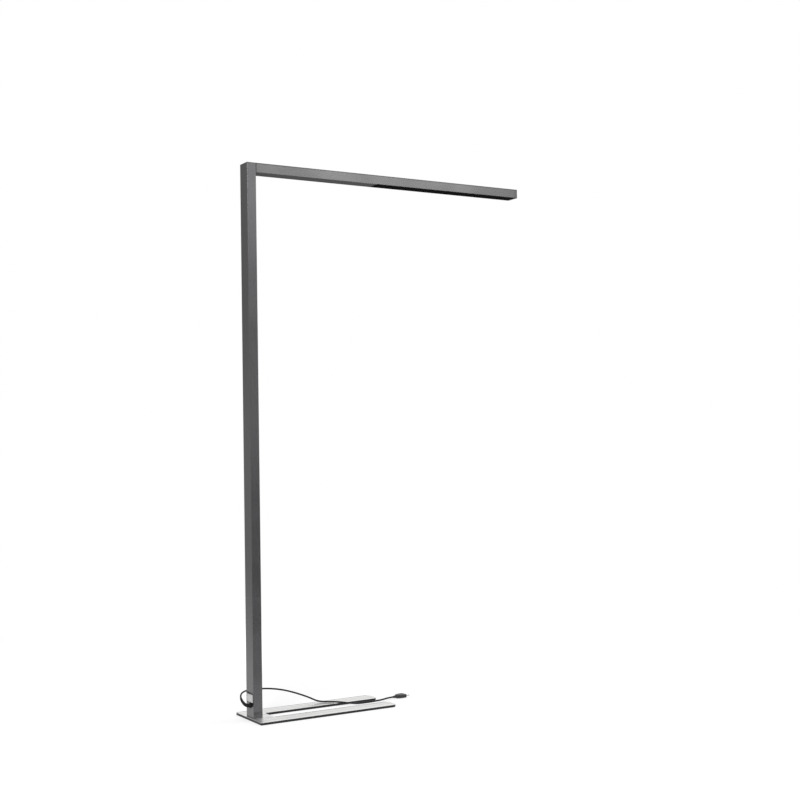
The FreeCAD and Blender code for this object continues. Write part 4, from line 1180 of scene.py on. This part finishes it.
@dataclass
class Studio:
    """Plain pale floor, soft lamps and a pale surround.

    Attributes:
        floor_reach: half the floor's side.
        floor_level: its height, just under the rubber sheet.
        paper: the floor's grey.
        white: share of plain white that the camera sees in the floor near the object.
        shadow_start: distance from the object where that share begins to grow.
        shadow_reach: distance where it is full.
        glow: strength of that white near the object, where the lit paper is less than white.
        surround: level of the light from all round.
        front_levels: what metal mirrors of the room before the object, by the sine of the elevation.
        front_panel: factor on those levels, by the part of the direction along X.
        left_levels: what it mirrors of the backdrop's left part.
        right_levels: what it mirrors of the backdrop's right part.
        side_level: what it mirrors of the walls at either side.
        seam: parts along X between which the backdrop's left passes into its right.
        turn: parts along Y between which the front passes into the backdrop.
        corner: parts along X between which both pass into the side walls.
        lamps: the area lamps.
    """

    floor_reach: float = 30.0
    floor_level: float = -0.2 * MM
    paper: float = 0.86
    white: float = 0.3
    shadow_start: float = 0.9
    shadow_reach: float = 2.4
    glow: float = 1.95
    surround: float = 0.42
    front_levels: Stops = (
        (-0.5, 1.3), (-0.23, 1.5), (-0.195, 0.45), (-0.165, 0.15), (-0.13, 0.0), (-0.06, 0.0), (-0.03, 0.5),
        (0.0, 0.95), (0.05, 0.6), (0.1, 0.15), (0.14, 0.2), (0.18, 1.9), (0.25, 2.0), (0.3, 1.2), (0.5, 0.9))
    front_panel: Stops = (
        (-0.5, 0.9), (0.36, 0.85), (0.41, 0.95), (0.44, 1.6), (0.5, 2.0), (0.54, 2.0), (0.57, 0.8),
        (0.62, 0.4), (0.7, 0.8))
    left_levels: Stops = (
        (-0.5, 1.1), (-0.2, 1.05), (-0.15, 0.85), (-0.1, 0.45), (-0.03, 0.55), (0.03, 0.5), (0.1, 0.38),
        (0.22, 0.42), (0.5, 1.0))
    right_levels: Stops = (
        (-0.5, 0.4), (-0.3, 0.2), (-0.15, 0.16), (-0.08, 0.25), (0.0, 0.7), (0.08, 1.0), (0.5, 1.0))
    side_level: float = 0.9
    seam: Span = (-0.1, 0.15)
    turn: Span = (-0.25, 0.25)
    corner: Span = (0.62, 0.78)
    lamps: tuple[SoftLamp, ...] = (
        SoftLamp("key_lamp", (-3.2, -3.2, 3.4), (0.1, 0.0, 1.0), 1.8, 90.0),
        SoftLamp("fill_lamp", (4.6, -1.2, 2.8), (0.3, 0.0, 1.0), 2.4, 40.0),
        SoftLamp("top_lamp", (0.4, 0.6, 5.0), (0.4, 0.0, 0.0), 2.4, 26.0),
    )

    def floor(self) -> None:
        """Make the floor, a flat grid just under the rubber sheet."""
        reach = np.linspace(-self.floor_reach, self.floor_reach, 9)
        across, along = np.meshgrid(reach, reach)
        grid = np.stack([across, along, np.full_like(across, self.floor_level)], axis=-1)
        piece = mesh_from_grid("studio_floor", grid, closed=False)
        graph = Graph.new("studio_paper")
        graph.set(Base_Color=(self.paper, self.paper, self.paper, 1.0), Roughness=0.8, Specular_IOR_Level=0.2)
        path = graph.add("ShaderNodeLightPath")
        glow = graph.add("ShaderNodeEmission")
        glow.inputs["Color"].default_value = (1.0, 1.0, 1.0, 1.0)
        both = graph.add("ShaderNodeMixShader")
        distance = graph.add("ShaderNodeVectorMath", operation="LENGTH")
        graph.link(graph.place(), distance.inputs[0])
        share = graph.between(
            distance.outputs["Value"], self.white, 1.0, self.shadow_start, self.shadow_reach)
        graph.link(graph.between(share, self.glow, 1.0, self.white, 1.0), glow.inputs["Strength"])
        seen = graph.maths("MULTIPLY", path.outputs["Is Camera Ray"], share)
        parts = (seen, graph.shader.outputs["BSDF"], glow.outputs["Emission"])
        for source, target in zip(parts, both.inputs):
            graph.link(source, target)
        graph.link(both.outputs["Shader"], graph.owner.node_tree.nodes["output"].inputs["Surface"])
        piece.data.materials.append(graph.owner)
        piece.visible_glossy = False

    def ramp(self, graph: Graph, part: Socket, stops: Stops) -> Socket:
        """Level against one part of a direction.

        Args:
            graph: the surround's graph.
            part: the direction's part along one axis.
            stops: pairs of part and level, in order, with levels up to 2.

        Returns:
            The level.
        """
        curve = graph.add("ShaderNodeFloatCurve")
        first, last = stops[0][0], stops[-1][0]
        graph.link(graph.between(part, 0.0, 1.0, first, last), curve.inputs["Value"])
        points = curve.mapping.curves[0].points
        for place, (x, y) in zip(points, ((0.0, stops[0][1] / 2), (1.0, stops[-1][1] / 2))):
            place.location = (x, y)
        for value, level in stops[1:-1]:
            points.new((value - first) / (last - first), level / 2)
        for place in points:
            place.handle_type = "AUTO_CLAMPED"
        curve.mapping.update()
        return graph.maths("MULTIPLY", curve.outputs["Value"], 2.0)

    def world(self) -> None:
        """Make the surround: white to the camera, soft panels and pale paper in reflections."""
        world = bpy.data.worlds.new("studio_surround")
        world.use_nodes = True
        world.node_tree.nodes.clear()
        graph = Graph(world)
        path = graph.add("ShaderNodeLightPath")
        split = graph.add("ShaderNodeSeparateXYZ")
        graph.link(graph.add("ShaderNodeTexCoord").outputs["Generated"], split.inputs["Vector"])
        front = graph.maths("MULTIPLY", self.ramp(graph, split.outputs["Z"], self.front_levels),
                            self.ramp(graph, split.outputs["X"], self.front_panel))
        left = self.ramp(graph, split.outputs["Z"], self.left_levels)
        right = self.ramp(graph, split.outputs["Z"], self.right_levels)
        backdrop = graph.mix(graph.between(split.outputs["X"], 0.0, 1.0, *self.seam), left, right)
        room = graph.mix(graph.between(split.outputs["Y"], 0.0, 1.0, *self.turn), front, backdrop)
        aside = graph.between(graph.maths("ABSOLUTE", split.outputs["X"]), 0.0, 1.0, *self.corner)
        mirrored = graph.mix(aside, room, self.side_level)
        level = graph.mix(path.outputs["Is Glossy Ray"], self.surround, mirrored)
        clear = graph.maths("MAXIMUM", path.outputs["Is Camera Ray"], path.outputs["Is Transmission Ray"])
        light = graph.add("ShaderNodeBackground")
        light.inputs["Color"].default_value = (1.0, 1.0, 1.0, 1.0)
        graph.link(graph.mix(clear, level, 1.0), light.inputs["Strength"])
        graph.link(light.outputs["Background"], graph.add("ShaderNodeOutputWorld").inputs["Surface"])
        bpy.context.scene.world = world

    def build(self) -> None:
        """Make the floor, the lamps and the surround."""
        self.floor()
        for lamp in self.lamps:
            lamp.build()
        self.world()
        bpy.context.scene.view_settings.view_transform = "Standard"


def main() -> None:
    """Build the lamp's pieces in order and light it."""
    logging.basicConfig(level=logging.INFO, format="%(name)s: %(message)s")
    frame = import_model()
    PhotoCamera().build()
    sheath = SoftSheath("sheath_black").build()
    cord = MainsCord()
    line = cord.sheath(sheath)
    relief = cord.relief(line, sheath)
    heading = np.subtract(cord.route[-1], cord.route[-2])
    plug = FlatPlug(cord.route[-1], math.atan2(heading[1], heading[0]))
    moulding = plug.shell(MouldedPlastic("plug_black", (0.018, 0.018, 0.019), 0.4).build())
    finish_nodes(frame, {"plug_pins": PlatedSteel("nickel_pins", (0.7, 0.69, 0.66), 0.2, (0.62, 0.6, 0.52))})
    for assembly in (ForkBase(), Column(), PushButton(), Arm()):
        finish_nodes(frame, assembly.finishes())
    Studio().build()


if __name__ == "__main__":
    main()
